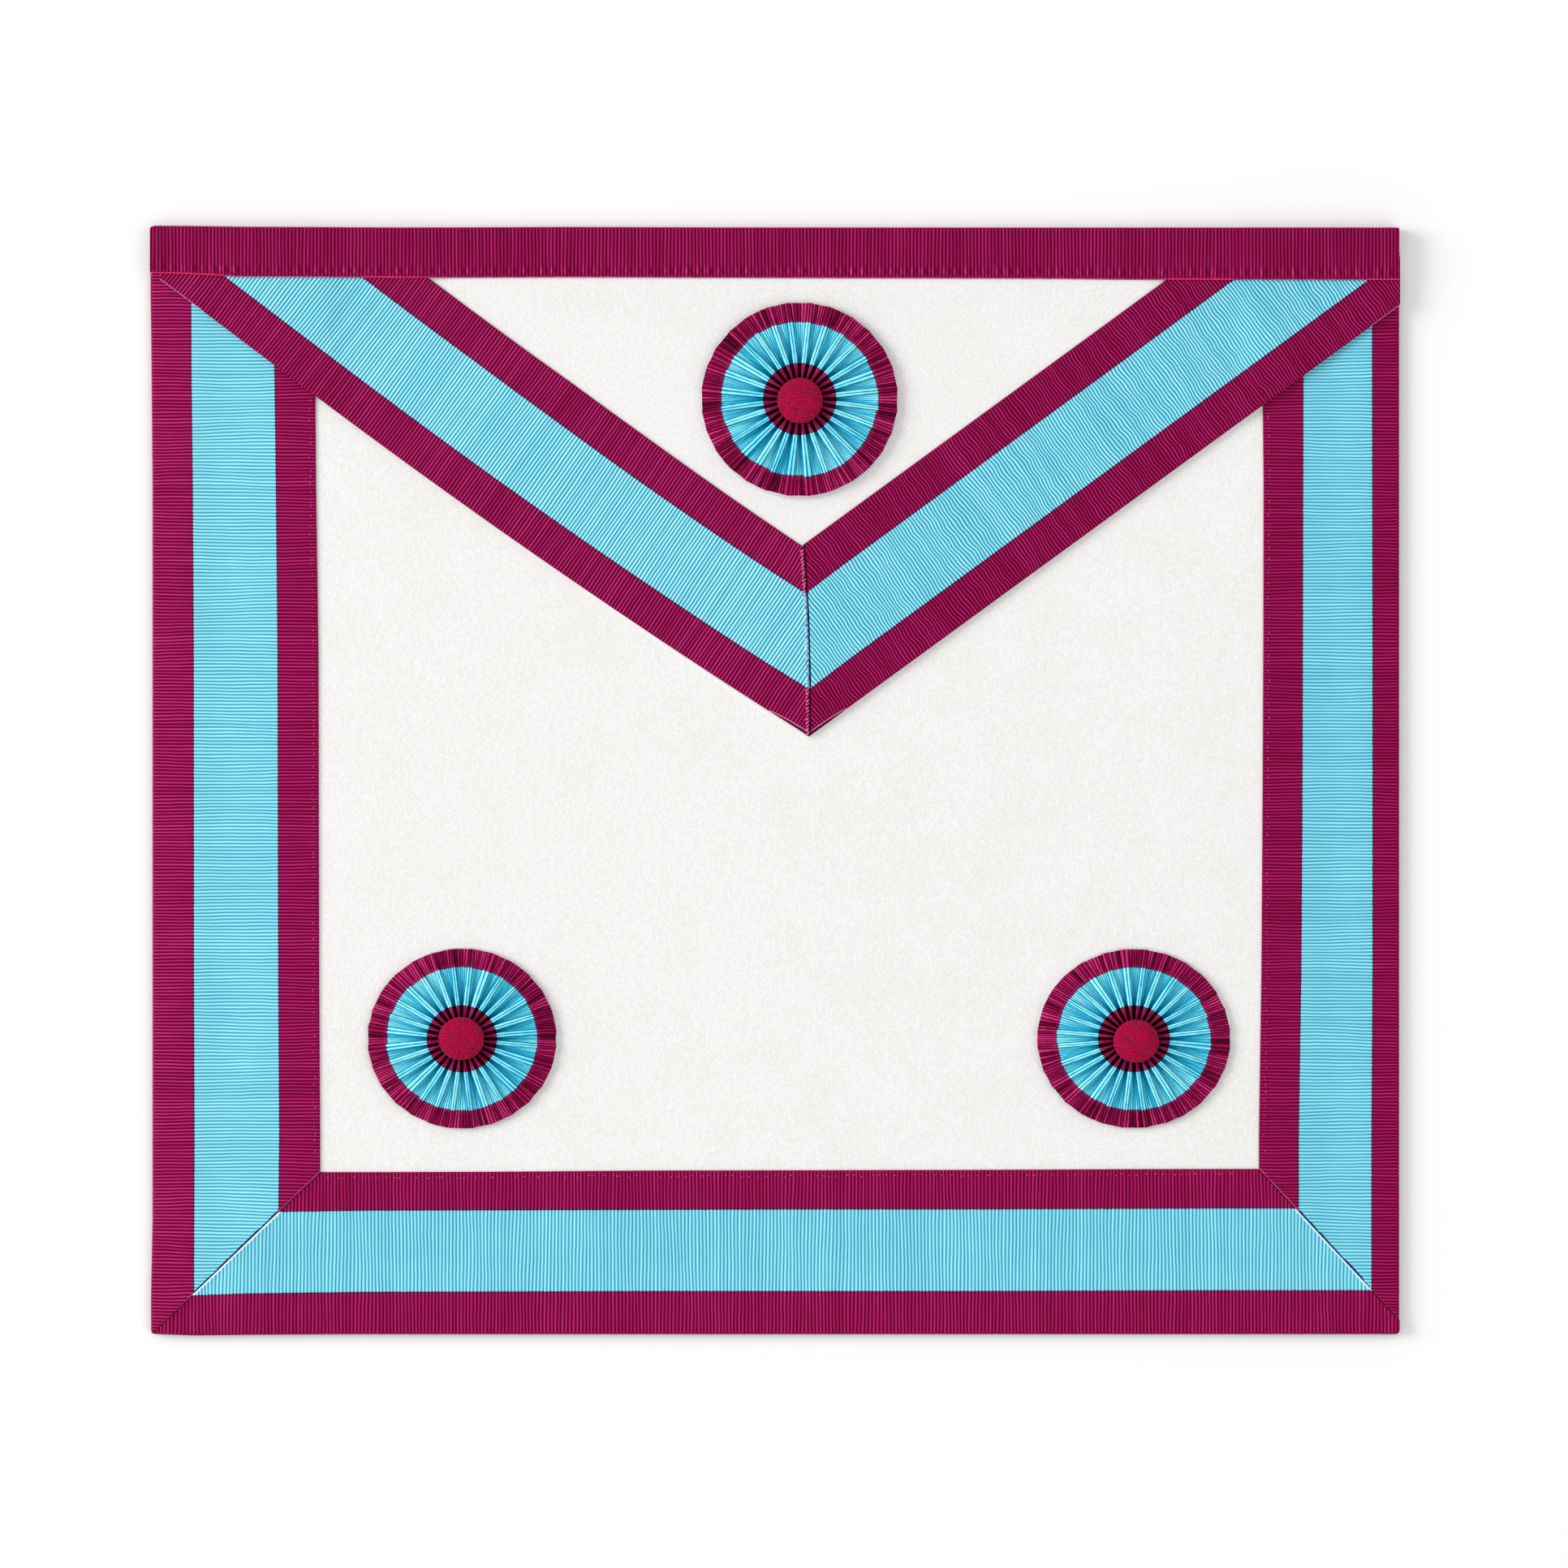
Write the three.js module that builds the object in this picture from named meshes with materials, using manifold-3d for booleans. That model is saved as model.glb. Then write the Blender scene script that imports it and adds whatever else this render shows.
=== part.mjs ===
// A fraternal apron of white leather, trimmed with striped grosgrain ribbon, lying face up.
// Millimetres. X runs across the apron, Y from its bottom edge to the waistband, Z up from
// the surface that it lies on. The origin is under the middle of the apron.

import * as THREE from 'three';
import Module from 'manifold-3d';

const wasm = await Module();
wasm.setup();

// Overall size
const APRON_WIDTH = 400;
const APRON_DEPTH = 355;

// Sheet thicknesses and the clearance left between layers
const LEATHER_THICK = 1.2;
const RIBBON_THICK = 1;
const LAY_GAP = 0.3;

// Border ribbons: visible widths, the hem turned to the back, and where the right mitre ends
const LEFT_BORDER_TOP = 52.4;
const LEFT_BORDER_FOOT = 54.7;
const RIGHT_BORDER_TOP = 43.8;
const RIGHT_BORDER_FOOT = 44.7;
const BOTTOM_BORDER = 52.5;
const HEM_WIDTH = 9;
const RIGHT_MITRE_RISE = 4.6;

// Waistband, folded over the top edge
const BAND_FRONT = 16.5;
const BAND_BACK = 16.5;

// How far a layer runs while it comes down from what lifts it
const HEM_DRAPE_RUN = 15;
const STEP_DRAPE_RUN = 8;

// Flap: a triangle hanging from the waistband, its tip right of the middle
const FLAP_DEPTH = 147;
const FLAP_TIP_SHIFT = 10.4;
const FLAP_LEFT_INSET = 4.8;
const FLAP_RIGHT_OVERRUN = 12.2;
const FLAP_LEFT_BOW = 3.2;
const FLAP_RIBBON_WIDTH = 50.8;
const FLAP_LEATHER_INSET = 0.5;
const FLAP_TUCK = 8;
const BOW_STEPS = 10;

// Rosettes: a pleated ribbon ring on a backing disc, with a covered button in the middle
const ROSETTE_RADIUS = 31.2;
const PLEAT_COUNT = 28;
const PLEAT_HEIGHT = 3.6;
const PLEAT_SCALLOP = 0.7;
const BACKING_RADIUS = 30.2;
const BACKING_THICK = 1;
const BACKING_SHIFT = 0.9;
const BACKING_SIDES = 40;
const BUTTON_RADIUS = 7.3;
const BUTTON_RISE = 3.2;
const BUTTON_LIP = 0.8;
const BUTTON_STEM_RADIUS = 4.6;
const BUTTON_SIDES = 20;

// Rosette centres as shares of half the width and half the depth, the top one's height being
// a share of the flap's depth below the waistband. Reaches are shares of the rosette radius.
// backingTurn is the side, in degrees, on which the backing disc shows.
const ROSETTES = [
  { name: 'top', across: 0.0385, onFlap: true, along: 0.265, wide: 1, deep: 1, backingTurn: -90 },
  { name: 'left', across: -0.5025, onFlap: false, along: -0.4665, wide: 0.971, deep: 0.92, backingTurn: 50 },
  { name: 'right', across: 0.574, onFlap: false, along: -0.4665, wide: 0.99, deep: 0.92, backingTurn: 90 },
];

// Rings of a pleated rosette: reach is a share of its radius, crest and valley are shares of
// the pleat height, and panel is the share of a pleat's pitch that its raised panel fills.
const PLEAT_RINGS = [
  { reach: 0.17, crest: 0.8, valley: 0.34, panel: 0.5 },
  { reach: 0.36, crest: 1, valley: 0.36, panel: 0.56 },
  { reach: 0.58, crest: 0.94, valley: 0.46, panel: 0.7 },
  { reach: 0.8, crest: 0.8, valley: 0.52, panel: 0.8 },
  { reach: 1, crest: 0.56, valley: 0.42, panel: 0.86 },
];

// Dome of a covered button: out is a share of its radius, up a share of its rise above the lip.
const BUTTON_DOME = [
  { out: 1, up: 0 },
  { out: 0.97, up: 0.3 },
  { out: 0.84, up: 0.62 },
  { out: 0.6, up: 0.86 },
  { out: 0.3, up: 0.97 },
];

// Places worked out from the sizes
const X_LEFT = -APRON_WIDTH / 2;
const X_RIGHT = APRON_WIDTH / 2;
const Y_FOOT = -APRON_DEPTH / 2;
const Y_TOP = APRON_DEPTH / 2;
const Y_BAND = Y_TOP - BAND_FRONT;
const Y_BAND_BACK = Y_TOP - BAND_BACK;
const Y_TUCK = Y_BAND + FLAP_TUCK;
const Y_BORDER = Y_FOOT + BOTTOM_BORDER;
const RIBBON_STEP = RIBBON_THICK + LAY_GAP;
const LEATHER_STEP = LEATHER_THICK + LAY_GAP;
const EDGE_INSET = RIBBON_THICK + LAY_GAP;
const FLAP_TIP = [FLAP_TIP_SHIFT, Y_BAND - FLAP_DEPTH];

const MATERIALS = {
  leather: { color: 0xf4f3f0, roughness: 0.75 },
  ribbon: { color: 0x7ed0e3, roughness: 0.6 },
  crimson: { color: 0x871348, roughness: 0.6 },
  button: { color: 0xa20f3d, roughness: 0.7 },
  backing: { color: 0xe8dcd2, roughness: 0.8 },
};

function material(slot) {
  return new THREE.MeshStandardMaterial({ ...MATERIALS[slot], metalness: 0 });
}

const clamp = (value) => Math.min(1, Math.max(0, value));

// Lines in the plan, as a*x + b*y = c with a unit normal
const upright = (x) => ({ a: 1, b: 0, c: x });
const level = (y) => ({ a: 0, b: 1, c: y });

function lineThrough(from, to) {
  const length = Math.hypot(to[0] - from[0], to[1] - from[1]);
  const a = (to[1] - from[1]) / length;
  const b = (from[0] - to[0]) / length;
  return { a, b, c: a * from[0] + b * from[1] };
}

const offsetFrom = (line, [x, y]) => line.a * x + line.b * y - line.c;

// The part of an outline on one side of a line, at least clear of it by a margin
function keepSide(outline, line, side, margin = 0) {
  const kept = [];
  outline.forEach((here, index) => {
    const next = outline[(index + 1) % outline.length];
    const from = side * offsetFrom(line, here) - margin;
    const to = side * offsetFrom(line, next) - margin;
    if (from >= 0) {
      kept.push(here);
    }
    if (from * to < 0) {
      const share = from / (from - to);
      kept.push([here[0] + share * (next[0] - here[0]), here[1] + share * (next[1] - here[1])]);
    }
  });
  return kept;
}

function areaOf(outline) {
  let doubled = 0;
  outline.forEach(([x, y], index) => {
    const [nextX, nextY] = outline[(index + 1) % outline.length];
    doubled += x * nextY - nextX * y;
  });
  return doubled / 2;
}

const TINY_AREA = 1e-6;
const SAME_PLACE = 1e-4;

function splitAll(outlines, line) {
  const pieces = outlines.flatMap((outline) => [keepSide(outline, line, 1), keepSide(outline, line, -1)]);
  return pieces.filter((piece) => piece.length > 2 && areaOf(piece) > TINY_AREA);
}

function contains(outline, x, y) {
  let inside = false;
  outline.forEach(([fromX, fromY], index) => {
    const [toX, toY] = outline[(index + 1) % outline.length];
    if ((fromY > y) !== (toY > y) && x < fromX + ((y - fromY) / (toY - fromY)) * (toX - fromX)) {
      inside = !inside;
    }
  });
  return inside;
}

function geometryOf(positions, triangles) {
  const geometry = new THREE.BufferGeometry();
  geometry.setAttribute('position', new THREE.Float32BufferAttribute(positions, 3));
  geometry.setIndex(triangles);
  geometry.computeVertexNormals();
  return geometry;
}

// A sheet over a counter-clockwise outline, between two height functions that are flat
// between the creases
function sheet(outline, creases, low, high) {
  const places = [];
  const numbers = new Map();
  const numberOf = ([x, y]) => {
    const key = `${Math.round(x / SAME_PLACE)} ${Math.round(y / SAME_PLACE)}`;
    if (!numbers.has(key)) {
      numbers.set(key, places.length);
      places.push([x, y]);
    }
    return numbers.get(key);
  };
  const faces = [];
  creases.reduce(splitAll, [outline]).forEach((cell) => {
    const corners = cell.map(([x, y]) => new THREE.Vector2(x, y));
    THREE.ShapeUtils.triangulateShape(corners, []).forEach((face) => {
      const numbered = face.map((corner) => numberOf(cell[corner]));
      if (new Set(numbered).size === 3) {
        faces.push(numbered);
      }
    });
  });
  const count = places.length;
  const positions = [];
  [low, high].forEach((height) => places.forEach(([x, y]) => positions.push(x, y, height(x, y))));
  const sides = new Set(faces.flatMap(([i, j, k]) => [`${i} ${j}`, `${j} ${k}`, `${k} ${i}`]));
  const triangles = [];
  faces.forEach(([i, j, k]) => {
    triangles.push(i + count, j + count, k + count, k, j, i);
    [[i, j], [j, k], [k, i]].forEach(([from, to]) => {
      if (!sides.has(`${to} ${from}`)) {
        triangles.push(from, to, to + count, from, to + count, from + count);
      }
    });
  });
  return geometryOf(positions, triangles);
}

function solidOf(geometry) {
  const vertProperties = new Float32Array(geometry.getAttribute('position').array);
  const triVerts = new Uint32Array(geometry.getIndex().array);
  return new wasm.Manifold(new wasm.Mesh({ numProp: 3, vertProperties, triVerts }));
}

// Sheets that are one piece of cloth, such as a ribbon's face, fold and hem
function join(...geometries) {
  const whole = geometries.map(solidOf).reduce((sum, next) => sum.add(next));
  const mesh = whole.getMesh();
  return geometryOf(Array.from(mesh.vertProperties), Array.from(mesh.triVerts));
}

// Heights of the layers

// The leather is lifted by the hems and the band's back strip, and lies down between them.
function leatherLow(x, y) {
  const sideways = Math.min(x - X_LEFT, X_RIGHT - x) - HEM_WIDTH;
  const lengthways = Math.min(y - Y_FOOT - HEM_WIDTH, Y_BAND_BACK - y);
  return RIBBON_STEP * clamp(1 - Math.min(sideways, lengthways) / HEM_DRAPE_RUN);
}

const leatherHigh = (x, y) => leatherLow(x, y) + LEATHER_THICK;
const borderLow = (x, y) => leatherLow(x, y) + LEATHER_STEP;
const borderHigh = (x, y) => borderLow(x, y) + RIBBON_THICK;

// 1 beside a ribbon's inner edges and outwards, falling to 0 over a short run towards the middle
const stepUp = ({ left, right }, x) => clamp(1 - Math.min(x - left, right - x) / STEP_DRAPE_RUN);
const stepCreases = ({ left, right }) =>
  [left, left + STEP_DRAPE_RUN, right - STEP_DRAPE_RUN, right].map(upright);

const BORDER_EDGES = {
  left: X_LEFT + Math.max(LEFT_BORDER_TOP, LEFT_BORDER_FOOT) + LAY_GAP,
  right: X_RIGHT - Math.max(RIGHT_BORDER_TOP, RIGHT_BORDER_FOOT) - LAY_GAP,
};

const flapLow = (x, y) => borderLow(x, y) + RIBBON_STEP * stepUp(BORDER_EDGES, x);
const flapHigh = (x, y) => flapLow(x, y) + LEATHER_THICK;
const flapRibbonLow = (x, y) => flapLow(x, y) + LEATHER_STEP;
const flapRibbonHigh = (x, y) => flapRibbonLow(x, y) + RIBBON_THICK;

const HEM_CREASES = [
  ...[0, HEM_DRAPE_RUN].flatMap((run) => [
    upright(X_LEFT + HEM_WIDTH + run),
    upright(X_RIGHT - HEM_WIDTH - run),
    level(Y_FOOT + HEM_WIDTH + run),
    level(Y_BAND_BACK - run),
  ]),
  ...[[X_LEFT + HEM_WIDTH, 1], [X_RIGHT - HEM_WIDTH, -1]].flatMap(([x, inwards]) => [
    lineThrough([x, Y_FOOT + HEM_WIDTH], [x + inwards, Y_FOOT + HEM_WIDTH + 1]),
    lineThrough([x, Y_BAND_BACK], [x + inwards, Y_BAND_BACK - 1]),
  ]),
];
const FLAP_CREASES = [...HEM_CREASES, ...stepCreases(BORDER_EDGES)];

// Outlines of the layers, counter-clockwise

function rectangle(left, foot, right, top) {
  return [[left, foot], [right, foot], [right, top], [left, top]];
}

// The mitres at the two bottom corners
const LEFT_MITRE = lineThrough([X_LEFT, Y_FOOT], [X_LEFT + LEFT_BORDER_FOOT, Y_BORDER]);
const RIGHT_MITRE = lineThrough(
  [X_RIGHT, Y_FOOT + RIGHT_MITRE_RISE],
  [X_RIGHT - RIGHT_BORDER_FOOT, Y_BORDER],
);
const MITRE_MARGIN = LAY_GAP / 2;

const cutAboveLeft = (outline) => keepSide(outline, LEFT_MITRE, -1, MITRE_MARGIN);
const cutAboveRight = (outline) => keepSide(outline, RIGHT_MITRE, 1, MITRE_MARGIN);
const cutBelowBoth = (outline) =>
  keepSide(keepSide(outline, LEFT_MITRE, 1, MITRE_MARGIN), RIGHT_MITRE, -1, MITRE_MARGIN);

const LEFT_FACE = cutAboveLeft([
  [X_LEFT, Y_FOOT],
  [X_LEFT + LEFT_BORDER_FOOT, Y_FOOT],
  [X_LEFT + LEFT_BORDER_FOOT, Y_BORDER],
  [X_LEFT + LEFT_BORDER_TOP, Y_BAND],
  [X_LEFT + LEFT_BORDER_TOP, Y_TUCK],
  [X_LEFT, Y_TUCK],
]);
const RIGHT_FACE = cutAboveRight([
  [X_RIGHT, Y_FOOT],
  [X_RIGHT, Y_TUCK],
  [X_RIGHT - RIGHT_BORDER_TOP, Y_TUCK],
  [X_RIGHT - RIGHT_BORDER_TOP, Y_BAND],
  [X_RIGHT - RIGHT_BORDER_FOOT, Y_BORDER],
  [X_RIGHT - RIGHT_BORDER_FOOT, Y_FOOT],
]);
const BOTTOM_FACE = cutBelowBoth(rectangle(X_LEFT, Y_FOOT, X_RIGHT, Y_BORDER));

// The flap's left edge bows outwards from its chord. Points run from the tip upwards, set in
// from the edge by a distance, and go on a little past the top so that they can be cut there.
const LEFT_TOP = [X_LEFT + FLAP_LEFT_INSET, Y_BAND];
const LEFT_CHORD = Math.hypot(LEFT_TOP[0] - FLAP_TIP[0], LEFT_TOP[1] - FLAP_TIP[1]);
const LEFT_ALONG = [(LEFT_TOP[0] - FLAP_TIP[0]) / LEFT_CHORD, (LEFT_TOP[1] - FLAP_TIP[1]) / LEFT_CHORD];
const PAST_TOP = 1.4;

function leftEdge(inset) {
  const points = [];
  for (let step = 0; step <= BOW_STEPS; step += 1) {
    const share = (step / BOW_STEPS) * PAST_TOP;
    const bow = 4 * FLAP_LEFT_BOW * share * (1 - share);
    const lean = (4 * FLAP_LEFT_BOW * (1 - 2 * share)) / LEFT_CHORD;
    const stretch = Math.hypot(1, lean);
    const along = share * LEFT_CHORD + (lean * inset) / stretch;
    const out = bow - inset / stretch;
    points.push([
      FLAP_TIP[0] + LEFT_ALONG[0] * along - LEFT_ALONG[1] * out,
      FLAP_TIP[1] + LEFT_ALONG[1] * along + LEFT_ALONG[0] * out,
    ]);
  }
  return points;
}

// The right edge is straight, and passes the apron's side before it reaches the band.
const RIGHT_TOP = [X_RIGHT + FLAP_RIGHT_OVERRUN, Y_BAND];
const RIGHT_LINE = lineThrough(FLAP_TIP, RIGHT_TOP);

function crossing(points, line, inset) {
  const before = points.findIndex((point, index) =>
    index + 1 < points.length &&
    offsetFrom(line, point) + inset > 0 !== offsetFrom(line, points[index + 1]) + inset > 0);
  const [from, to] = [points[before], points[before + 1]];
  const [start, end] = [from, to].map((point) => offsetFrom(line, point) + inset);
  const share = start / (start - end);
  return { before, point: [from[0] + share * (to[0] - from[0]), from[1] + share * (to[1] - from[1])] };
}

// The corner where the left edge meets the right one, both set in by the same distance
function innerCorner(inset) {
  const edge = leftEdge(inset);
  const { a, b } = RIGHT_LINE;
  const ahead = [edge[0][0] - edge[1][0], edge[0][1] - edge[1][1]];
  const drawnOut = [[edge[0][0] + ahead[0] * PAST_TOP, edge[0][1] + ahead[1] * PAST_TOP], ...edge];
  const met = crossing(drawnOut, { a, b, c: RIGHT_LINE.c }, inset);
  return { point: met.point, rest: drawnOut.slice(met.before + 1) };
}

const insideApron = (outline) => [
  [upright(X_LEFT + FLAP_LEFT_INSET), 1],
  [upright(X_RIGHT), -1],
  [level(Y_TUCK), -1],
].reduce((kept, [line, side]) => keepSide(kept, line, side), outline);

function flapOutline(inset) {
  const { point, rest } = innerCorner(inset);
  const end = rest[rest.length - 1];
  const farRight = [RIGHT_TOP[0] + (RIGHT_TOP[0] - FLAP_TIP[0]), 0];
  farRight[1] = (RIGHT_LINE.c - inset - RIGHT_LINE.a * farRight[0]) / RIGHT_LINE.b;
  return insideApron([point, farRight, [end[0], farRight[1]], ...rest.slice().reverse()]);
}

const FLAP_OUTLINE = flapOutline(FLAP_LEATHER_INSET);
const INNER_APEX = innerCorner(FLAP_RIBBON_WIDTH).point;
const SEAM = lineThrough(FLAP_TIP, INNER_APEX);

function leftFlapRibbon() {
  const { point, rest } = innerCorner(FLAP_RIBBON_WIDTH);
  const outer = leftEdge(0).reverse();
  const band = insideApron([...outer, point, ...rest]);
  return keepSide(band, SEAM, -1, MITRE_MARGIN);
}

function rightFlapRibbon() {
  const far = [RIGHT_TOP[0] + FLAP_DEPTH, RIGHT_TOP[1] + FLAP_DEPTH * (-RIGHT_LINE.a / RIGHT_LINE.b)];
  const across = [-RIGHT_LINE.a * FLAP_RIBBON_WIDTH, -RIGHT_LINE.b * FLAP_RIBBON_WIDTH];
  const band = [FLAP_TIP, far, [far[0] + across[0], far[1] + across[1]], INNER_APEX];
  return keepSide(insideApron(band), SEAM, 1, MITRE_MARGIN);
}

const LEFT_FLAP_RIBBON = leftFlapRibbon();
const RIGHT_FLAP_RIBBON = rightFlapRibbon();

// The band rises where it crosses the flap's ribbons.
const FLAP_RIBBON_EDGES = {
  left: crossing(leftEdge(FLAP_RIBBON_WIDTH), level(Y_BAND), 0).point[0] + LAY_GAP,
  right: (RIGHT_LINE.c - FLAP_RIBBON_WIDTH - RIGHT_LINE.b * Y_BAND) / RIGHT_LINE.a - LAY_GAP,
};
const bandLow = (x, y) => flapLow(x, y) + LEATHER_STEP + RIBBON_STEP * stepUp(FLAP_RIBBON_EDGES, x);
const bandHigh = (x, y) => bandLow(x, y) + RIBBON_THICK;
const BAND_CREASES = [...FLAP_CREASES, ...stepCreases(FLAP_RIBBON_EDGES)];

// Pieces

function apronBody() {
  const outline = rectangle(
    X_LEFT + EDGE_INSET,
    Y_FOOT + EDGE_INSET,
    X_RIGHT - EDGE_INSET,
    Y_TOP - EDGE_INSET,
  );
  return sheet(outline, HEM_CREASES, leatherLow, leatherHigh);
}

const onFloor = () => 0;
const ribbonHigh = () => RIBBON_THICK;
const halfRibbon = () => RIBBON_THICK / 2;

// A border ribbon: its face, the fold round the leather's edge and the hem under it
function borderRibbon(face, fold, hem, cut) {
  const foldHigh = (x, y) => borderLow(x, y) + RIBBON_THICK / 2;
  return join(
    sheet(face, HEM_CREASES, borderLow, borderHigh),
    sheet(cut(fold), [], halfRibbon, foldHigh),
    sheet(cut(hem), [], onFloor, ribbonHigh),
  );
}

const Y_HEM_END = Y_BAND_BACK - LAY_GAP;

function leftBorder() {
  const fold = rectangle(X_LEFT, Y_FOOT, X_LEFT + RIBBON_THICK, Y_HEM_END);
  const hem = rectangle(X_LEFT, Y_FOOT, X_LEFT + HEM_WIDTH, Y_HEM_END);
  return borderRibbon(LEFT_FACE, fold, hem, cutAboveLeft);
}

function rightBorder() {
  const fold = rectangle(X_RIGHT - RIBBON_THICK, Y_FOOT, X_RIGHT, Y_HEM_END);
  const hem = rectangle(X_RIGHT - HEM_WIDTH, Y_FOOT, X_RIGHT, Y_HEM_END);
  return borderRibbon(RIGHT_FACE, fold, hem, cutAboveRight);
}

function bottomBorder() {
  const fold = rectangle(X_LEFT, Y_FOOT, X_RIGHT, Y_FOOT + RIBBON_THICK);
  const hem = rectangle(X_LEFT, Y_FOOT, X_RIGHT, Y_FOOT + HEM_WIDTH);
  return borderRibbon(BOTTOM_FACE, fold, hem, cutBelowBoth);
}

function waistband() {
  const front = rectangle(X_LEFT, Y_BAND, X_RIGHT, Y_TOP);
  const fold = rectangle(X_LEFT, Y_TOP - RIBBON_THICK, X_RIGHT, Y_TOP);
  const back = rectangle(X_LEFT, Y_BAND_BACK, X_RIGHT, Y_TOP);
  const foldHigh = (x, y) => bandLow(x, y) + RIBBON_THICK / 2;
  return join(
    sheet(front, BAND_CREASES, bandLow, bandHigh),
    sheet(fold, BAND_CREASES, halfRibbon, foldHigh),
    sheet(back, [], onFloor, ribbonHigh),
  );
}

// Rosettes

const LAYER_TOPS = [
  [LEFT_FACE, borderHigh],
  [RIGHT_FACE, borderHigh],
  [BOTTOM_FACE, borderHigh],
  [FLAP_OUTLINE, flapHigh],
  [LEFT_FLAP_RIBBON, flapRibbonHigh],
  [RIGHT_FLAP_RIBBON, flapRibbonHigh],
];
const SEAT_SAMPLES = 24;

// The height that clears every layer under a disc
function seatHeight(centreX, centreY, reach) {
  let highest = 0;
  for (let turn = 0; turn < SEAT_SAMPLES; turn += 1) {
    const angle = (turn / SEAT_SAMPLES) * 2 * Math.PI;
    [0, 0.5, 1].forEach((share) => {
      const x = centreX + share * reach * Math.cos(angle);
      const y = centreY + share * reach * Math.sin(angle);
      const covered = LAYER_TOPS.filter(([outline]) => contains(outline, x, y));
      const tops = covered.map(([, height]) => height(x, y));
      highest = Math.max(highest, leatherHigh(x, y), ...tops);
    });
  }
  return highest + LAY_GAP;
}

function rosettePlace({ across, along, onFlap }) {
  const x = (across * APRON_WIDTH) / 2;
  const y = onFlap ? Y_BAND - along * FLAP_DEPTH : (along * APRON_DEPTH) / 2;
  return [x, y, seatHeight(x, y, Math.max(ROSETTE_RADIUS, BACKING_RADIUS + BACKING_SHIFT))];
}

// A closed tube of rings, each ring a list of points, joined ring to ring and end to start
function hoop(rings) {
  const across = rings[0].length;
  const triangles = [];
  rings.forEach((ring, turn) => {
    const here = turn * across;
    const next = ((turn + 1) % rings.length) * across;
    ring.forEach((point, index) => {
      const after = (index + 1) % across;
      triangles.push(here + index, next + index, next + after);
      triangles.push(here + index, next + after, here + after);
    });
  });
  return geometryOf(rings.flat(2), triangles);
}

function pleatRing({ wide, deep }) {
  const pitch = (2 * Math.PI) / PLEAT_COUNT;
  const section = (angle, isCrest, side) => {
    const at = (reach, spread, height) => {
      const turned = angle + side * spread * pitch;
      return [reach * wide * Math.cos(turned), reach * deep * Math.sin(turned), height];
    };
    const tops = PLEAT_RINGS.map(({ reach, crest, valley, panel }, index) => {
      const isRim = index === PLEAT_RINGS.length - 1;
      const scallop = isRim && !isCrest ? PLEAT_SCALLOP : 0;
      const spread = isCrest ? panel / 2 : (1 + panel) / 4;
      return at(reach * ROSETTE_RADIUS - scallop, spread, PLEAT_HEIGHT * (isCrest ? crest : valley));
    });
    const [inner] = tops;
    const rim = tops[tops.length - 1];
    return [[inner[0], inner[1], 0], ...tops, [rim[0], rim[1], 0]];
  };
  const rings = [];
  for (let pleat = 0; pleat < PLEAT_COUNT; pleat += 1) {
    const angle = pleat * pitch;
    rings.push(section(angle, false, -1), section(angle, true, -1));
    rings.push(section(angle, true, 1), section(angle, false, 1));
  }
  return hoop(rings.reverse());
}

// A solid turned about Z from a list of [radius, height], the first and last on the axis
function turned(profile, sides) {
  const points = profile.slice(1, -1);
  const positions = [0, 0, profile[0][1], 0, 0, profile[profile.length - 1][1]];
  const triangles = [];
  for (let side = 0; side < sides; side += 1) {
    const angle = (side / sides) * 2 * Math.PI;
    points.forEach(([radius, height]) => {
      positions.push(radius * Math.cos(angle), radius * Math.sin(angle), height);
    });
    const here = 2 + side * points.length;
    const next = 2 + ((side + 1) % sides) * points.length;
    const last = points.length - 1;
    triangles.push(0, next, here, 1, here + last, next + last);
    for (let index = 0; index < last; index += 1) {
      triangles.push(here + index, next + index, next + index + 1);
      triangles.push(here + index, next + index + 1, here + index + 1);
    }
  }
  return geometryOf(positions, triangles);
}

function backingDisc({ wide, deep }) {
  const disc = turned(
    [[0, 0], [BACKING_RADIUS, 0], [BACKING_RADIUS, BACKING_THICK], [0, BACKING_THICK]],
    BACKING_SIDES,
  );
  return disc.scale(wide, deep, 1);
}

// The button rests on the pleats, and its stem goes down through them to the backing.
function coveredButton() {
  const under = PLEAT_HEIGHT + LAY_GAP;
  const dome = BUTTON_DOME.map(({ out, up }) => [
    out * BUTTON_RADIUS,
    under + BUTTON_LIP + up * (BUTTON_RISE - BUTTON_LIP),
  ]);
  return turned(
    [
      [0, 0],
      [BUTTON_STEM_RADIUS, 0],
      [BUTTON_STEM_RADIUS, under],
      [BUTTON_RADIUS - BUTTON_LIP, under],
      ...dome,
      [0, under + BUTTON_RISE],
    ],
    BUTTON_SIDES,
  );
}

const apron = new THREE.Group();

function place(parent, name, geometry, slot, x = 0, y = 0, z = 0) {
  const mesh = new THREE.Mesh(geometry, material(slot));
  mesh.name = name;
  mesh.position.set(x, y, z);
  parent.add(mesh);
}

place(apron, 'apron_body', apronBody(), 'leather');
place(apron, 'border_ribbon_left', leftBorder(), 'ribbon');
place(apron, 'border_ribbon_bottom', bottomBorder(), 'ribbon');
place(apron, 'border_ribbon_right', rightBorder(), 'ribbon');
place(apron, 'flap_leather', sheet(FLAP_OUTLINE, FLAP_CREASES, flapLow, flapHigh), 'leather');
place(
  apron,
  'flap_ribbon_left',
  sheet(LEFT_FLAP_RIBBON, FLAP_CREASES, flapRibbonLow, flapRibbonHigh),
  'ribbon',
);
place(
  apron,
  'flap_ribbon_right',
  sheet(RIGHT_FLAP_RIBBON, FLAP_CREASES, flapRibbonLow, flapRibbonHigh),
  'ribbon',
);
place(apron, 'waistband', waistband(), 'crimson');

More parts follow.
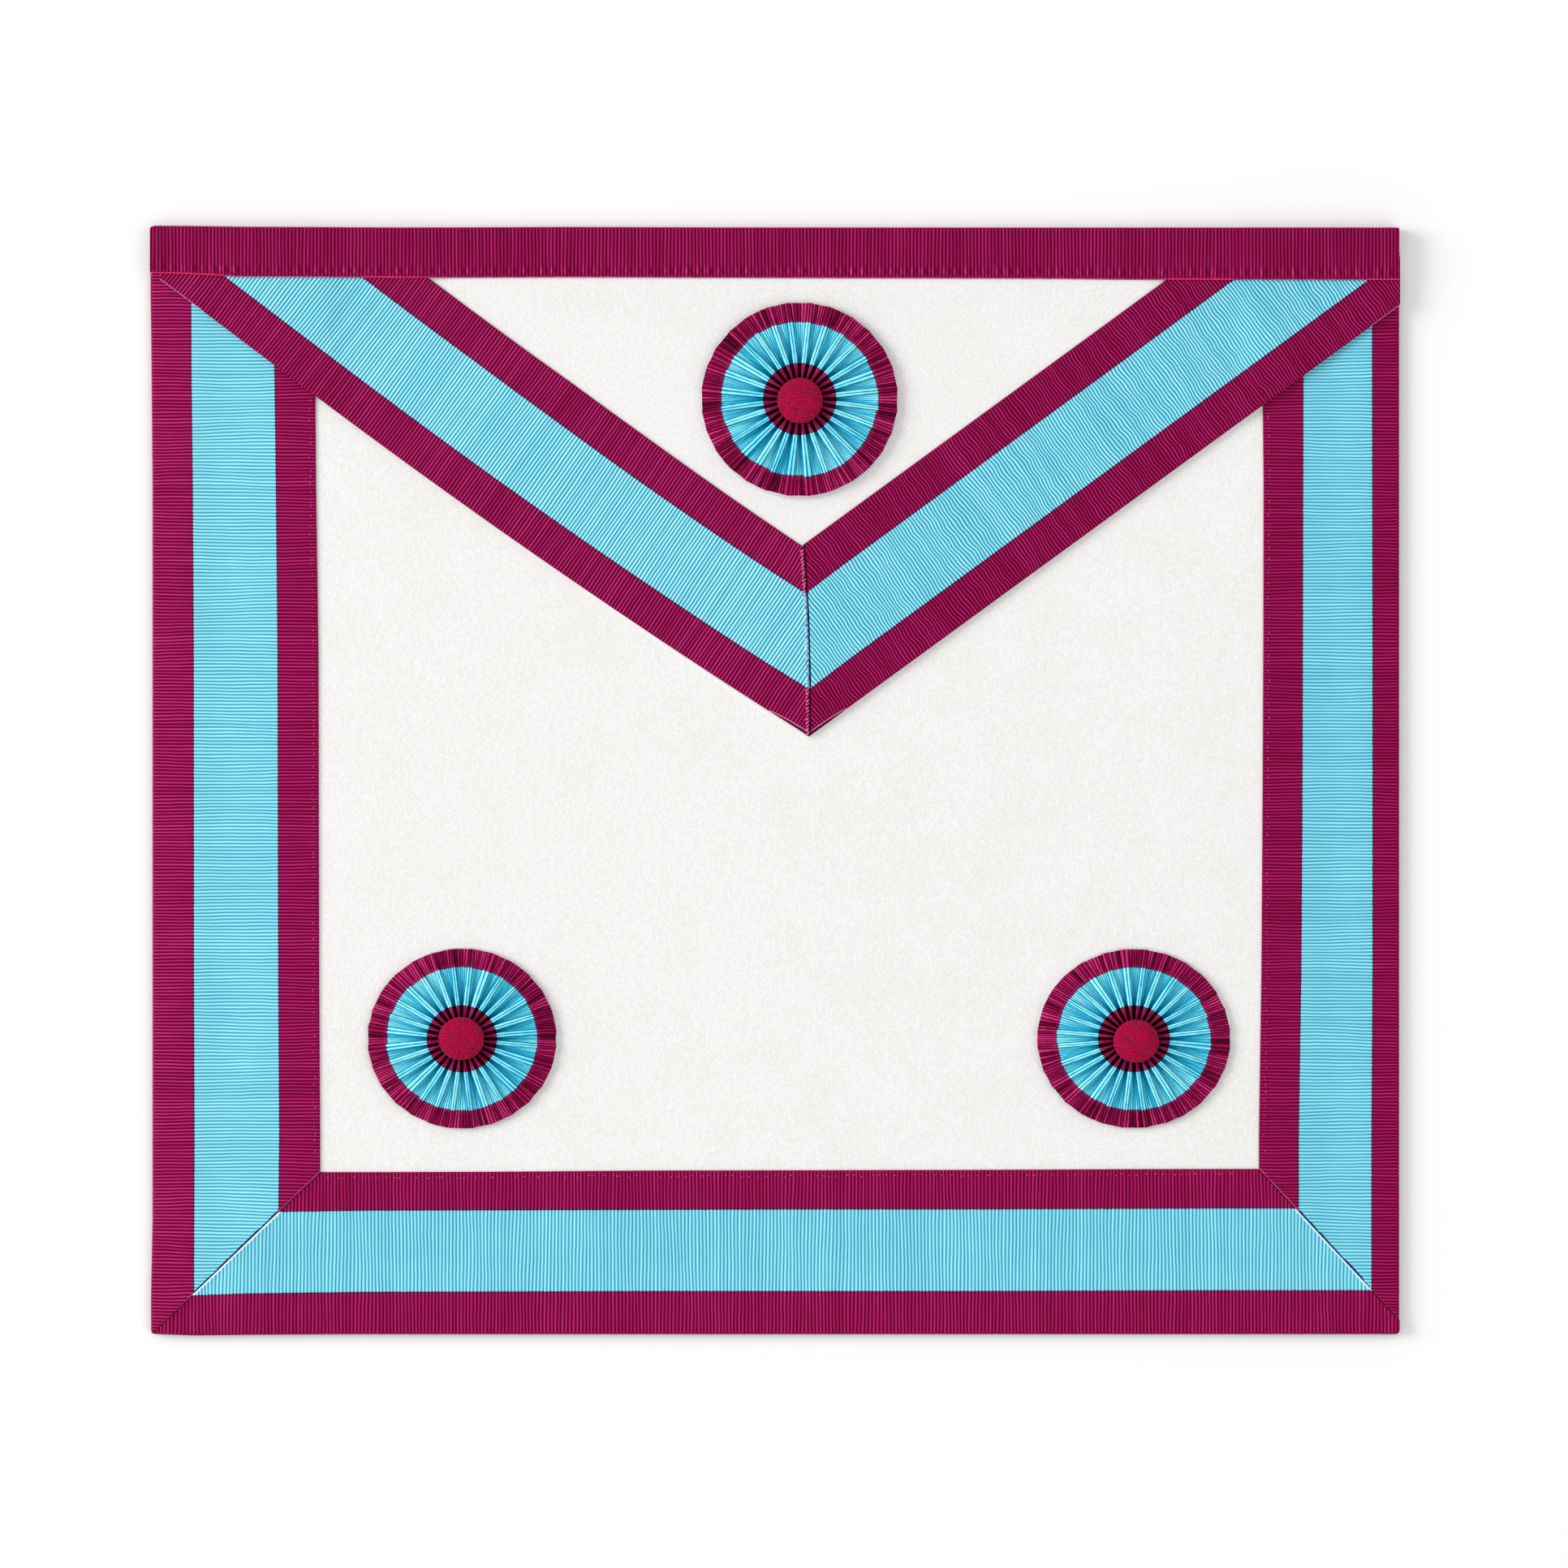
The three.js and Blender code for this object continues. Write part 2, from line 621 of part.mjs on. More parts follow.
ROSETTES.forEach((rosette) => {
  const group = new THREE.Group();
  const [x, y, z] = rosettePlace(rosette);
  const shiftTurn = THREE.MathUtils.degToRad(rosette.backingTurn);
  const onBacking = BACKING_THICK + LAY_GAP;
  group.position.set(x, y, z);
  place(
    group,
    `rosette_${rosette.name}_backing`,
    backingDisc(rosette),
    'backing',
    BACKING_SHIFT * Math.cos(shiftTurn),
    BACKING_SHIFT * Math.sin(shiftTurn),
  );
  place(group, `rosette_${rosette.name}_pleats`, pleatRing(rosette), 'ribbon', 0, 0, onBacking);
  place(group, `rosette_${rosette.name}_button`, coveredButton(), 'button', 0, 0, onBacking);
  apron.add(group);
});

export default apron;
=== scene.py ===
"""A white leather apron with striped grosgrain borders, lying face up on a pale floor.

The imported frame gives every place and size. Lengths are millimetres until a mesh is made, and
each mesh is written in metres. X runs across the apron, Y from its foot to its waistband.
"""

import logging
import math
from dataclasses import dataclass, field
from enum import Enum
from typing import Callable, Protocol, Sequence

import bmesh
import bpy
import numpy as np
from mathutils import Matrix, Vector


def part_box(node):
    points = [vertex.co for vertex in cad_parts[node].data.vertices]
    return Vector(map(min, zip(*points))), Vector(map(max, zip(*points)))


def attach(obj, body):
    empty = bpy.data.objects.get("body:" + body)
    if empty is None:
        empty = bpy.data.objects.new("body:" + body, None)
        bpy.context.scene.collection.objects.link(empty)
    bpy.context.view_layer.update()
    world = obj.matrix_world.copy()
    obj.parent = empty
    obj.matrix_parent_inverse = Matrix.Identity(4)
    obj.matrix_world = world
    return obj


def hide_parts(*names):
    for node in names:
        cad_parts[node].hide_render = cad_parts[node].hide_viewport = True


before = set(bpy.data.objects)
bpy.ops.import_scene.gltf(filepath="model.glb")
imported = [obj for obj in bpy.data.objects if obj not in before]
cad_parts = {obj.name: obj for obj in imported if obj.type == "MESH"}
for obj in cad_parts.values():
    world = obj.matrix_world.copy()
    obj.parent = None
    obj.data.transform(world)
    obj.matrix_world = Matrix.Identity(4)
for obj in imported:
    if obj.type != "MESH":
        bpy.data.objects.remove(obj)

Array = np.ndarray
Colour = tuple[float, float, float]
Point = tuple[float, float]
Table = Sequence[Point]
Bumps = Sequence[tuple[float, float, float]]

MM = 0.001
LOG = logging.getLogger("apron")

# Further from an edge, a stripe's edge and every painted highlight and shadow line than anything shows
FAR = 99.0
# How much longer or shorter than its table's row a wave of wander may be
WAVE_STRETCH = (0.75, 1.3)
# How far below a ribbon's top a corner may lie and still be dressed as its face
FACE_DEPTH = 0.5


class Slot(Enum):
    """The record's material slots."""

    LEATHER = "white_leather"
    STRIPED = "striped_ribbon"
    CRIMSON = "crimson_ribbon"
    BUTTON = "button_cloth"
    BACKING = "rosette_backing"


class Held(Enum):
    """How a sheet is held."""

    LAID = "laid"
    FOLDED = "folded"
    GATHERED = "gathered"


# Small helpers


def smooth(value: Array) -> Array:
    """Eases a share between 0 and 1.

    Args:
        value: shares, clamped to the range first.

    Returns:
        The eased shares.
    """
    share = np.clip(value, 0.0, 1.0)
    return share * share * (3.0 - 2.0 * share)


def read(table: Table, place: Array) -> Array:
    """Reads a table of places and values, straight between its rows."""
    return np.interp(place, *zip(*table))


def bell(distance: Array, reach: float) -> Array:
    """A bump of height 1 that fades over a reach."""
    return np.exp(-((distance / reach) ** 2))


def bumps(distance: Array, rows: Bumps) -> Array:
    """The sum of some bumps, each a height, a place and a reach."""
    return sum(height * bell(distance - place, reach) for height, place, reach in rows)


def srgb(red: int, green: int, blue: int) -> Colour:
    """Turns an 8-bit sRGB colour to linear light.

    Args:
        red: red, 0 to 255.
        green: green, 0 to 255.
        blue: blue, 0 to 255.

    Returns:
        The linear colour.
    """

    def linear(value: float) -> float:
        """One channel in linear light."""
        return value / 12.92 if value <= 0.04045 else ((value + 0.055) / 1.055) ** 2.4

    return linear(red / 255), linear(green / 255), linear(blue / 255)


def ripple(along: Array, across: Array, seed: int, runs: Sequence[tuple[float, float, float]]) -> Array:
    """A gentle seeded wander over a ribbon.

    Args:
        along: places along the ribbon.
        across: places across it.
        seed: seed of the phases.
        runs: amplitude, wavelength along and wavelength across of each wave.

    Returns:
        The wander at each place, in the amplitudes' unit.
    """
    rng = np.random.default_rng(seed)
    total = np.zeros(np.broadcast(along, across).shape)
    for amplitude, run, spread in runs:
        for _ in range(2):
            stretch, turn = rng.uniform(*WAVE_STRETCH), rng.choice((-1.0, 1.0))
            phase = rng.uniform(0, 2 * math.pi)
            wave = along / (run * stretch) + turn * across / (spread * stretch)
            total = total + 0.5 * amplitude * np.sin(2 * math.pi * wave + phase)
    return total


def signed_volume(points: Array, quads: Array) -> float:
    """The volume inside closed quads, negative if they face inwards.

    Args:
        points: corner places.
        quads: corner numbers, four to a face.

    Returns:
        The signed volume.
    """
    a, b, c, d = (points[quads[:, corner]] for corner in range(4))
    halves = np.einsum("ij,ij->i", a, np.cross(b, c)) + np.einsum("ij,ij->i", a, np.cross(c, d))
    return float(halves.sum() / 6)


def new_object(name: str, mesh: bpy.types.Mesh) -> bpy.types.Object:
    """Puts a mesh into the scene at the origin.

    Args:
        name: the piece's name.
        mesh: its mesh.

    Returns:
        The piece.
    """
    piece = bpy.data.objects.new(name, mesh)
    bpy.context.scene.collection.objects.link(piece)
    return piece


def mesh_of(name: str, points: Array, quads: Array, caps: Sequence[Sequence[int]] = ()) -> bpy.types.Mesh:
    """Makes a smooth mesh from quads and a few many-sided caps.

    Args:
        name: the mesh's name.
        points: corner places in millimetres.
        quads: corner numbers, four to a face.
        caps: corner numbers of each cap.

    Returns:
        The mesh, in metres and facing outwards.
    """
    if signed_volume(points, quads) < 0:
        quads = quads[:, ::-1]
        caps = [list(reversed(cap)) for cap in caps]
    mesh = bpy.data.meshes.new(name)
    sizes = np.array([4] * len(quads) + [len(cap) for cap in caps], dtype=np.int32)
    corners = np.concatenate([quads.ravel(), *(np.array(cap) for cap in caps)]).astype(np.int32)
    mesh.vertices.add(len(points))
    mesh.vertices.foreach_set("co", (points * MM).astype(np.float32).ravel())
    mesh.loops.add(len(corners))
    mesh.loops.foreach_set("vertex_index", corners)
    mesh.polygons.add(len(sizes))
    mesh.polygons.foreach_set("loop_start", np.concatenate([[0], np.cumsum(sizes)[:-1]]).astype(np.int32))
    mesh.update(calc_edges=True)
    mesh.validate()
    mesh.shade_smooth()
    return mesh


def vectors(data: bpy.types.bpy_prop_collection, key: str) -> Array:
    """Reads a vector for each corner of a mesh.

    Args:
        data: the corners, or an attribute's data.
        key: the vector's name there.

    Returns:
        One row for each corner.
    """
    flat = np.empty(len(data) * 3, dtype=np.float32)
    data.foreach_get(key, flat)
    return flat.reshape(-1, 3).astype(float)


def points_of(mesh: bpy.types.Mesh) -> Array:
    """A mesh's corners in millimetres."""
    return vectors(mesh.vertices, "co") / MM


def set_points(mesh: bpy.types.Mesh, points: Array) -> None:
    """Moves a mesh's corners to places in millimetres."""
    mesh.vertices.foreach_set("co", (points * MM).astype(np.float32).ravel())
    mesh.update()


def paint(mesh: bpy.types.Mesh, name: str, values: Array) -> None:
    """Writes a value or a vector at each corner of a mesh.

    Args:
        mesh: the mesh.
        name: the attribute that a material reads.
        values: one row for each corner.
    """
    is_vector = values.ndim == 2
    layer = mesh.attributes.get(name)
    if layer is None:
        layer = mesh.attributes.new(name, "FLOAT_VECTOR" if is_vector else "FLOAT", "POINT")
    layer.data.foreach_set("vector" if is_vector else "value", values.astype(np.float32).ravel())


def painted(mesh: bpy.types.Mesh, name: str) -> Array:
    """Reads back a painted vector attribute."""
    return vectors(mesh.attributes[name].data, "vector")


def deselect() -> None:
    """Leaves nothing selected, so that an operator acts on a new primitive alone."""
    bpy.ops.object.select_all(action="DESELECT")


def finish_with(piece: bpy.types.Object, material: bpy.types.Material) -> None:
    """Gives a piece its one material."""
    piece.data.materials.clear()
    piece.data.materials.append(material)


def declare(
    piece: bpy.types.Object, material: bpy.types.Material, slot: Slot, *nodes: str
) -> bpy.types.Object:
    """Gives a piece its finish, says what it rides on and hides the nodes that it stands for.

    Args:
        piece: the piece.
        material: its finish.
        slot: its material slot in the record; not used.
        nodes: the nodes that it replaces.

    Returns:
        The piece.
    """
    finish_with(piece, material)
    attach(piece, "root")
    if nodes:
        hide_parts(*nodes)
    LOG.info("%s: %d faces", piece.name, len(piece.data.polygons))
    return piece


# How the layers lie


@dataclass(frozen=True)
class Line:
    """A line in the plan, through a point and with a unit normal."""

    x: float
    y: float
    a: float
    b: float

    @classmethod
    def through(cls, start: Point, end: Point) -> "Line":
        """The line through two points, its normal to their right."""
        length = math.hypot(end[0] - start[0], end[1] - start[1])
        return cls(start[0], start[1], (end[1] - start[1]) / length, (start[0] - end[0]) / length)

    def offset(self, x: Array, y: Array) -> Array:
        """How far places are on the normal's side."""
        return (x - self.x) * self.a + (y - self.y) * self.b


def sway(main: Array, other: Array, run: float, bend: float, reach: float) -> Array:
    """A wave along one axis that sways with the place on the other.

    Args:
        main: places along the wave.
        other: places across it.
        run: the wave's run.
        bend: the run of its sway.
        reach: how far it sways, in radians.

    Returns:
        The wave, -1 to 1.
    """
    return np.sin(main / run + reach * np.sin(other / bend))


@dataclass(frozen=True)
class Lay:
    """The heights of the apron's layers, in millimetres."""

    left: float
    right: float
    foot: float
    top: float
    band: float = 161.0
    tuck: float = 169.0
    leather: float = 1.0
    ribbon: float = 0.75
    gap: float = 0.15
    edge_lift: float = 1.7
    clear: float = 0.03
    hem: float = 9.0
    hem_run: float = 15.0
    step_run: float = 8.0
    border_edges: Point = (-145.0, 155.0)
    flap_edges: Point = (-111.0, 124.4)
    billow: float = 0.2
    billow_from: float = 4.0
    billow_run: float = 40.0
    seat_clear: float = 0.05

    @classmethod
    def from_frame(cls) -> "Lay":
        """Reads the apron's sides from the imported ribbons.

        Returns:
            The layers.
        """
        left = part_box("border_ribbon_left")[0].x / MM
        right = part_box("border_ribbon_right")[1].x / MM
        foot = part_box("border_ribbon_bottom")[0].y / MM
        band_low, band_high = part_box("waistband")
        return cls(left=left, right=right, foot=foot, top=band_high.y / MM, band=band_low.y / MM)

    @property
    def ribbon_step(self) -> float:
        """What a ribbon lifts the next layer by."""
        return self.ribbon + self.gap

    @property
    def leather_step(self) -> float:
        """What a sheet of leather lifts the next layer by."""
        return self.leather + self.gap

    def leather_low(self, x: Array, y: Array) -> Array:
        """The underside of the apron's leather, lifted by the hems round it.

        Args:
            x: places across the apron.
            y: places along it.

        Returns:
            The heights.
        """
        sideways = np.minimum(x - self.left, self.right - x) - self.hem
        lengthways = np.minimum(y - self.foot - self.hem, self.band - y)
        inward = np.minimum(sideways, lengthways)
        wave = 1 + sway(x, y, 19.0, 31.0, 1.3) * sway(y, x, 23.0, 37.0, 0.9)
        rest = 0.5 * self.billow * wave * smooth((inward - self.billow_from) / self.billow_run)
        return self.edge_lift * smooth(1 - inward / self.hem_run) + rest + self.clear

    def leather_high(self, x: Array, y: Array) -> Array:
        """The top of the apron's leather."""
        return self.leather_low(x, y) + self.leather

    def border_high(self, x: Array, y: Array) -> Array:
        """The top of the border ribbons."""
        return self.leather_low(x, y) + self.leather_step + self.ribbon

    def seat(self, high: Callable[[Array, Array], Array], centre: Point, radius: float = 31.5) -> float:
        """Where a flat disc comes to rest.

        Args:
            high: the surface that it lies on.
            centre: the disc's middle.
            radius: the disc's radius.

        Returns:
            The height of its underside.
        """
        turn, reach = np.meshgrid(np.linspace(0, 2 * math.pi, 25), np.linspace(0, radius, 7))
        under = high(centre[0] + reach * np.cos(turn), centre[1] + reach * np.sin(turn))
        return float(under.max()) + self.seat_clear

    def step_up(self, edges: Point, x: Array) -> Array:
        """1 outside two edges, easing to 0 between them."""
        return smooth(1 - np.minimum(x - edges[0], edges[1] - x) / self.step_run)

    def flap_low(self, x: Array, y: Array) -> Array:
        """The underside of the flap."""
        rise = self.ribbon_step * self.step_up(self.border_edges, x)
        return self.leather_low(x, y) + self.leather_step + rise

    def flap_high(self, x: Array, y: Array) -> Array:
        """The top of the flap's leather."""
        return self.flap_low(x, y) + self.leather

    def flap_ribbon_high(self, x: Array, y: Array) -> Array:
        """The top of the flap's ribbons."""
        return self.flap_low(x, y) + self.leather_step + self.ribbon

    def band_high(self, x: Array, y: Array) -> Array:
        """The top of the waistband."""
        rise = self.ribbon_step * self.step_up(self.flap_edges, x)
        return self.flap_low(x, y) + self.leather_step + rise + self.ribbon


# Ribbons


class Path(Protocol):
    """Where a ribbon runs in the plan."""

    def plan(self, along: Array, across: Array) -> tuple[Array, Array]:
        """Where points of the ribbon are."""


@dataclass(frozen=True)
class StraightPath:
    """A ribbon whose outer edge is straight."""

    origin: Point
    heading: Point
    inward: Point

    def plan(self, along: Array, across: Array) -> tuple[Array, Array]:
        """Where points of the ribbon are.

        Args:
            along: places along the outer edge.
            across: how far in from it they are.

        Returns:
            Their X and Y.
        """
        x = self.origin[0] + self.heading[0] * along + self.inward[0] * across
        y = self.origin[1] + self.heading[1] * along + self.inward[1] * across
        return x, y


@dataclass(frozen=True)
class BowedPath:
    """A ribbon whose outer edge bows out from its chord."""

    start: Point
    end: Point
    bow: float
    flare: float = 0.0
    flare_power: int = 12

    def plan(self, along: Array, across: Array) -> tuple[Array, Array]:
        """Where points of the ribbon are.

        Args:
            along: places along the chord.
            across: how far in from the bowed edge they are.

        Returns:
            Their X and Y.
        """
        dx, dy = self.end[0] - self.start[0], self.end[1] - self.start[1]
        chord = math.hypot(dx, dy)
        dx, dy = dx / chord, dy / chord
        share = along / chord
        lean = 4 * self.bow * (1 - 2 * share) / chord
        stretch = np.hypot(1, lean)
        run = along + lean * across / stretch
        flare = self.flare * np.clip(share, 0.0, 1.1) ** self.flare_power
        out = 4 * self.bow * share * (1 - share) + flare - across / stretch
        return self.start[0] + dx * run - dy * out, self.start[1] + dy * run + dx * out


@dataclass(frozen=True)
class Column:
    """A line that runs along a ribbon, as one point of its cross-section.

    Its height is lift times the face's height, plus a rise. Grooves sink it inwards.
    """

    across: float
    lift: float = 1.0
    plus: float = 0.0
    sink: Point = (0.0, -1.0)
    from_inner: bool = False


# Rows of corners over one rib: its share of the pitch, and how high the rib is there
RIB_ROWS = ((0.0, 0.0), (0.2, 0.72), (0.5, 1.0), (0.8, 0.72))
# Columns at a cut edge: how far in from the edge, and how far below the face
EDGE_COLUMNS = ((0.0, -0.5), (0.07, -0.22), (0.26, -0.06), (0.7, 0.0), (2.2, 0.0))
# Waves of a ribbon's wander: amplitude, wavelength along and wavelength across
CALM_DRIFT = ((0.3, 70.0, 90.0), (0.2, 26.0, 48.0), (0.08, 9.0, 30.0), (0.05, 24.0, 9.0))
EVEN_DRIFT = ((0.2, 80.0, 90.0), (0.1, 22.0, 40.0), (0.04, 9.0, 14.0))
LIVELY_DRIFT = ((0.4, 60.0, 60.0), (0.34, 22.0, 30.0), (0.2, 16.0, 7.0), (0.13, 9.0, 5.5))


@dataclass
class Ribbon:
    """A ribbon of grosgrain, its ribs modelled row by row."""

    name: str
    path: Path
    start: float
    end: float
    width: Table
    high: Callable[[Array, Array], Array]
    seed: int
    blue: tuple[Table, Table] | None = None
    pitch: float = 1.09
    relief: float = 0.2
    thick: float = 0.75
    hem: float = 0.0
    hem_end: float = math.inf
    fold: float = 1.3
    drift: Sequence[tuple[float, float, float]] = CALM_DRIFT
    serration: float = 0.1
    shade: Point = (1.0, 1.0)
    columns_apart: float = 3.3
    edge_reach: float = 0.35
    side_shade: float = 0.45

    def face_columns(self) -> list[Column]:
        """The face's top, from the inner edge to the outer one.

        Returns:
            Its columns, with a finely stepped edge wherever there is no fold.
        """
        columns = [Column(across, plus=plus, from_inner=True) for across, plus in EDGE_COLUMNS]
        edge_end = EDGE_COLUMNS[-1][0]
        outermost = self.fold + 0.6 if self.hem else edge_end
        innermost = min(value for _, value in self.width) - edge_end - 1.0
        count = max(int((innermost - outermost) / self.columns_apart), 2)
        columns += [Column(float(across)) for across in np.linspace(innermost, outermost, count + 1)]
        if not self.hem:
            near = [(1.7, 0.0), (1.2, 0.0), *reversed(EDGE_COLUMNS[:-1])]
            columns += [Column(across, plus=plus) for across, plus in near]
        return columns

    def fold_columns(self) -> list[Column]:
        """The fold round the leather's edge and the hem under it.

        Returns:
            Their columns, none for a ribbon that isn't folded.
        """
        if not self.hem:
            return []
        columns = []
        for turn in range(90, -91, -20):
            angle = math.radians(turn)
            out, up = abs(math.cos(angle)) ** 0.8, math.copysign(abs(math.sin(angle)) ** 0.8, angle)
            sink = (math.cos(angle), -math.sin(angle))
            columns.append(Column(self.fold * (1 - out), lift=(1 + up) / 2, sink=sink))
        under = [(self.fold + 1.5, 0.0), (self.hem * 0.55, 0.0), (self.hem - 0.4, 0.0)]
        columns += [Column(across, lift=0.0, plus=plus, sink=(0.0, 1.0)) for across, plus in under]
        inside = [(self.hem, 0.25), (self.hem, 0.55), (self.hem - 0.3, self.thick), (self.thick, self.thick)]
        columns += [Column(across, lift=0.0, plus=plus, sink=(0.0, 0.0)) for across, plus in inside]
        return columns

    def under_columns(self) -> list[Column]:
        """The face's underside, from the outer edge to the inner one.

        Returns:
            Its columns, under every second one of the face.
        """
        face = [column.across for column in self.face_columns() if not (column.plus or column.from_inner)]
        chosen = [self.thick if self.hem else 0.05, *face[-2:0:-2]]
        places = [(across, False) for across in chosen] + [(EDGE_COLUMNS[-1][0], True), (0.05, True)]
        flat = (0.0, 0.0)
        return [Column(across, plus=-self.thick, sink=flat, from_inner=inner) for across, inner in places]

    def rows(self) -> tuple[Array, Array]:
        """Where the rows of corners are.

        Returns:
            Their places along the ribbon, and how far up its rib each one is.
        """
        count = int(round((self.end - self.start) / self.pitch))
        along = [self.start + self.pitch * (rib + share) for rib in range(count) for share, _ in RIB_ROWS]
        level = [up for _ in range(count) for _, up in RIB_ROWS]
        return np.array(along), np.array(level)

    def build(self) -> bpy.types.Mesh:
        """Makes the ribbon's closed mesh, with its weave, stripes and tone painted on.

        Returns:
            The mesh, before its ends are cut.
        """
        top, fold, under = self.face_columns(), self.fold_columns(), self.under_columns()
        columns = top + fold + under
        along, level = self.rows()
        rng = np.random.default_rng(self.seed)
        ribs = len(along) // len(RIB_ROWS)
        proud = np.repeat(rng.uniform(0.9, 1.0, ribs), len(RIB_ROWS))
        level_all = (level * proud)[:, None] * np.ones(len(columns))
        width = read(self.width, along)[:, None]
        given = np.array([column.across for column in columns])
        inner = np.array([column.from_inner for column in columns])
        across = np.where(inner, width - given, given)
        wander = ripple(along[:, None], across, self.seed, self.drift)
        placed = along[:, None] + wander
        notch = self.serration * (1 - level_all)
        near_inner = bell(width - across, self.edge_reach)
        near_outer = bell(across, self.edge_reach) if not self.hem else 0.0
        sink_across = np.array([column.sink[0] for column in columns])
        depth = self.relief * (1 - level_all)
        cut_in = across - notch * near_inner + notch * near_outer + depth * sink_across
        x, y = self.path.plan(placed, cut_in)
        lift = np.array([column.lift for column in columns])
        plus = np.array([column.plus for column in columns])
        sink_up = np.array([column.sink[1] for column in columns])
        z = lift * self.high(x, y) + plus + depth * sink_up
        points = np.stack([x, y, z], axis=-1).reshape(-1, 3)
        quads, caps = self.faces(len(along), len(top), len(fold), len(under), along)
        mesh = mesh_of(self.name, points, quads, caps)
        paint(mesh, "weave", np.stack([placed, across, level_all], axis=-1).reshape(-1, 3))
        blue = np.full(across.shape, -FAR)
        if self.blue:
            near, far_side = (read(edge, along)[:, None] for edge in self.blue)
            blue = np.minimum(across - near, far_side - across)
        # Only the stripes' dye goes in now; the other two channels are distances to painted highlight and
        # shadow lines, set by the pieces later
        far = np.full(across.shape, FAR)
        paint(mesh, "dye_and_shading", np.stack([blue, far, far], axis=-1).reshape(-1, 3))
        tone = self.shade[0] + (self.shade[1] - self.shade[0]) * across / width
        # Painted shade: the fold's lower half and the hem under the leather are darkened
        on_side = lift < 0.55
        paint(mesh, "tone", (tone * np.where(on_side, self.side_shade, 1.0)).ravel())
        return mesh

    def faces(
        self, rows: int, top: int, fold: int, under: int, along: Array
    ) -> tuple[Array, list[list[int]]]:
        """Joins the rows. Past the hem's end only the face goes on.

        Args:
            rows: how many rows there are.
            top: columns of the face's top.
            fold: columns of the fold and hem.
            under: columns of the underside.
            along: the rows' places.

        Returns:
            The quads, and the caps at the ends and at the hem's end.
        """
        total = top + fold + under
        turn = rows - 1 if not fold else int(np.searchsorted(along, min(self.hem_end, along[-1])))
        turn = min(turn, rows - 1)
        face_pairs = [(j, j + 1) for j in range(top - 1)]
        face_pairs += [(top + fold + j, top + fold + j + 1) for j in range(under - 1)] + [(total - 1, 0)]
        fold_pairs = [(j, j + 1) for j in range(top - 1, top + fold)]

        def band(pairs: list[tuple[int, int]], first: int, last: int) -> Array:
            """Joins pairs of columns over a run of rows.

            Args:
                pairs: numbers of the columns beside each other.
                first: the first row.
                last: the last row.

            Returns:
                The quads.
            """
            here = np.arange(first, last)[:, None] * total
            near, far = np.array(pairs).T
            corners = [here + near, here + far, here + total + far, here + total + near]
            return np.stack(corners, -1).reshape(-1, 4)

        quads = [band(face_pairs, 0, rows - 1)]
        quads.append(band(fold_pairs, 0, turn))
        face_ring = list(range(top)) + list(range(top + fold, total))
        full_ring = list(range(total))
        caps = [list(reversed(full_ring))]
        if turn < rows - 1:
            quads.append(band([(top - 1, top + fold)], turn, rows - 1))
            caps.append([turn * total + j for j in range(top - 1, top + fold + 1)])
            caps.append([(rows - 1) * total + j for j in face_ring])
        else:
            caps.append([(rows - 1) * total + j for j in full_ring])
        return np.concatenate(quads), caps


def cut(mesh: bpy.types.Mesh, line: Line, side: int, margin: float, creases: Sequence[float] = ()) -> None:
    """Cuts a mesh along an upright plane and closes the cut.

    Args:
        mesh: the mesh.
        line: the plane's line in the plan.
        side: 1 to keep the normal's side, -1 to keep the other.
        margin: what is left clear of the line.
        creases: distances from the cut that get a row of corners too.
    """
    work = bmesh.new()
    work.from_mesh(mesh)
    normal = Vector((line.a * side, line.b * side, 0.0))
    start = Vector((line.x, line.y, 0.0)) * MM

    def slice_at(distance: float, clears: bool) -> list:
        """Cuts at a distance from the line.

        Args:
            distance: how far the cut is on the kept side.
            clears: whether what lies before the cut goes.

        Returns:
            The corners and edges on the cut.
        """
        everything = work.verts[:] + work.edges[:] + work.faces[:]
        place = start + normal * distance * MM
        made = bmesh.ops.bisect_plane(
            work, geom=everything, plane_co=place, plane_no=normal, clear_inner=clears
        )
        return made["geom_cut"]

    rim = [part for part in slice_at(margin, True) if isinstance(part, bmesh.types.BMEdge)]
    bmesh.ops.holes_fill(work, edges=[edge for edge in rim if edge.is_boundary], sides=0)
    for crease in creases:
        slice_at(margin + crease, False)
    work.to_mesh(mesh)
    work.free()
    mesh.update()


def round_corners(points: Array, lay: Lay, radius: float) -> Array:
    """Brings the outline's corners in to an arc.

    Args:
        points: places in millimetres.
        lay: the apron's sides.
        radius: the arc's radius.

    Returns:
        The moved places.
    """
    moved = points.copy()
    for x_side, y_side, x_way, y_way in (
        (lay.left, lay.foot, 1, 1),
        (lay.right, lay.foot, -1, 1),
        (lay.left, lay.top, 1, -1),
        (lay.right, lay.top, -1, -1),
    ):
        dx = (x_side + x_way * radius - moved[:, 0]) * x_way
        dy = (y_side + y_way * radius - moved[:, 1]) * y_way
        inside = (dx > 0) & (dy > 0)
        reach = np.hypot(dx, dy)
        shrink = np.where(inside & (reach > radius), radius / np.maximum(reach, 1e-9), 1.0)
        moved[:, 0] += (1 - shrink) * dx * x_way
        moved[:, 1] += (1 - shrink) * dy * y_way
    return moved


# Finishes


Socket = bpy.types.NodeSocket


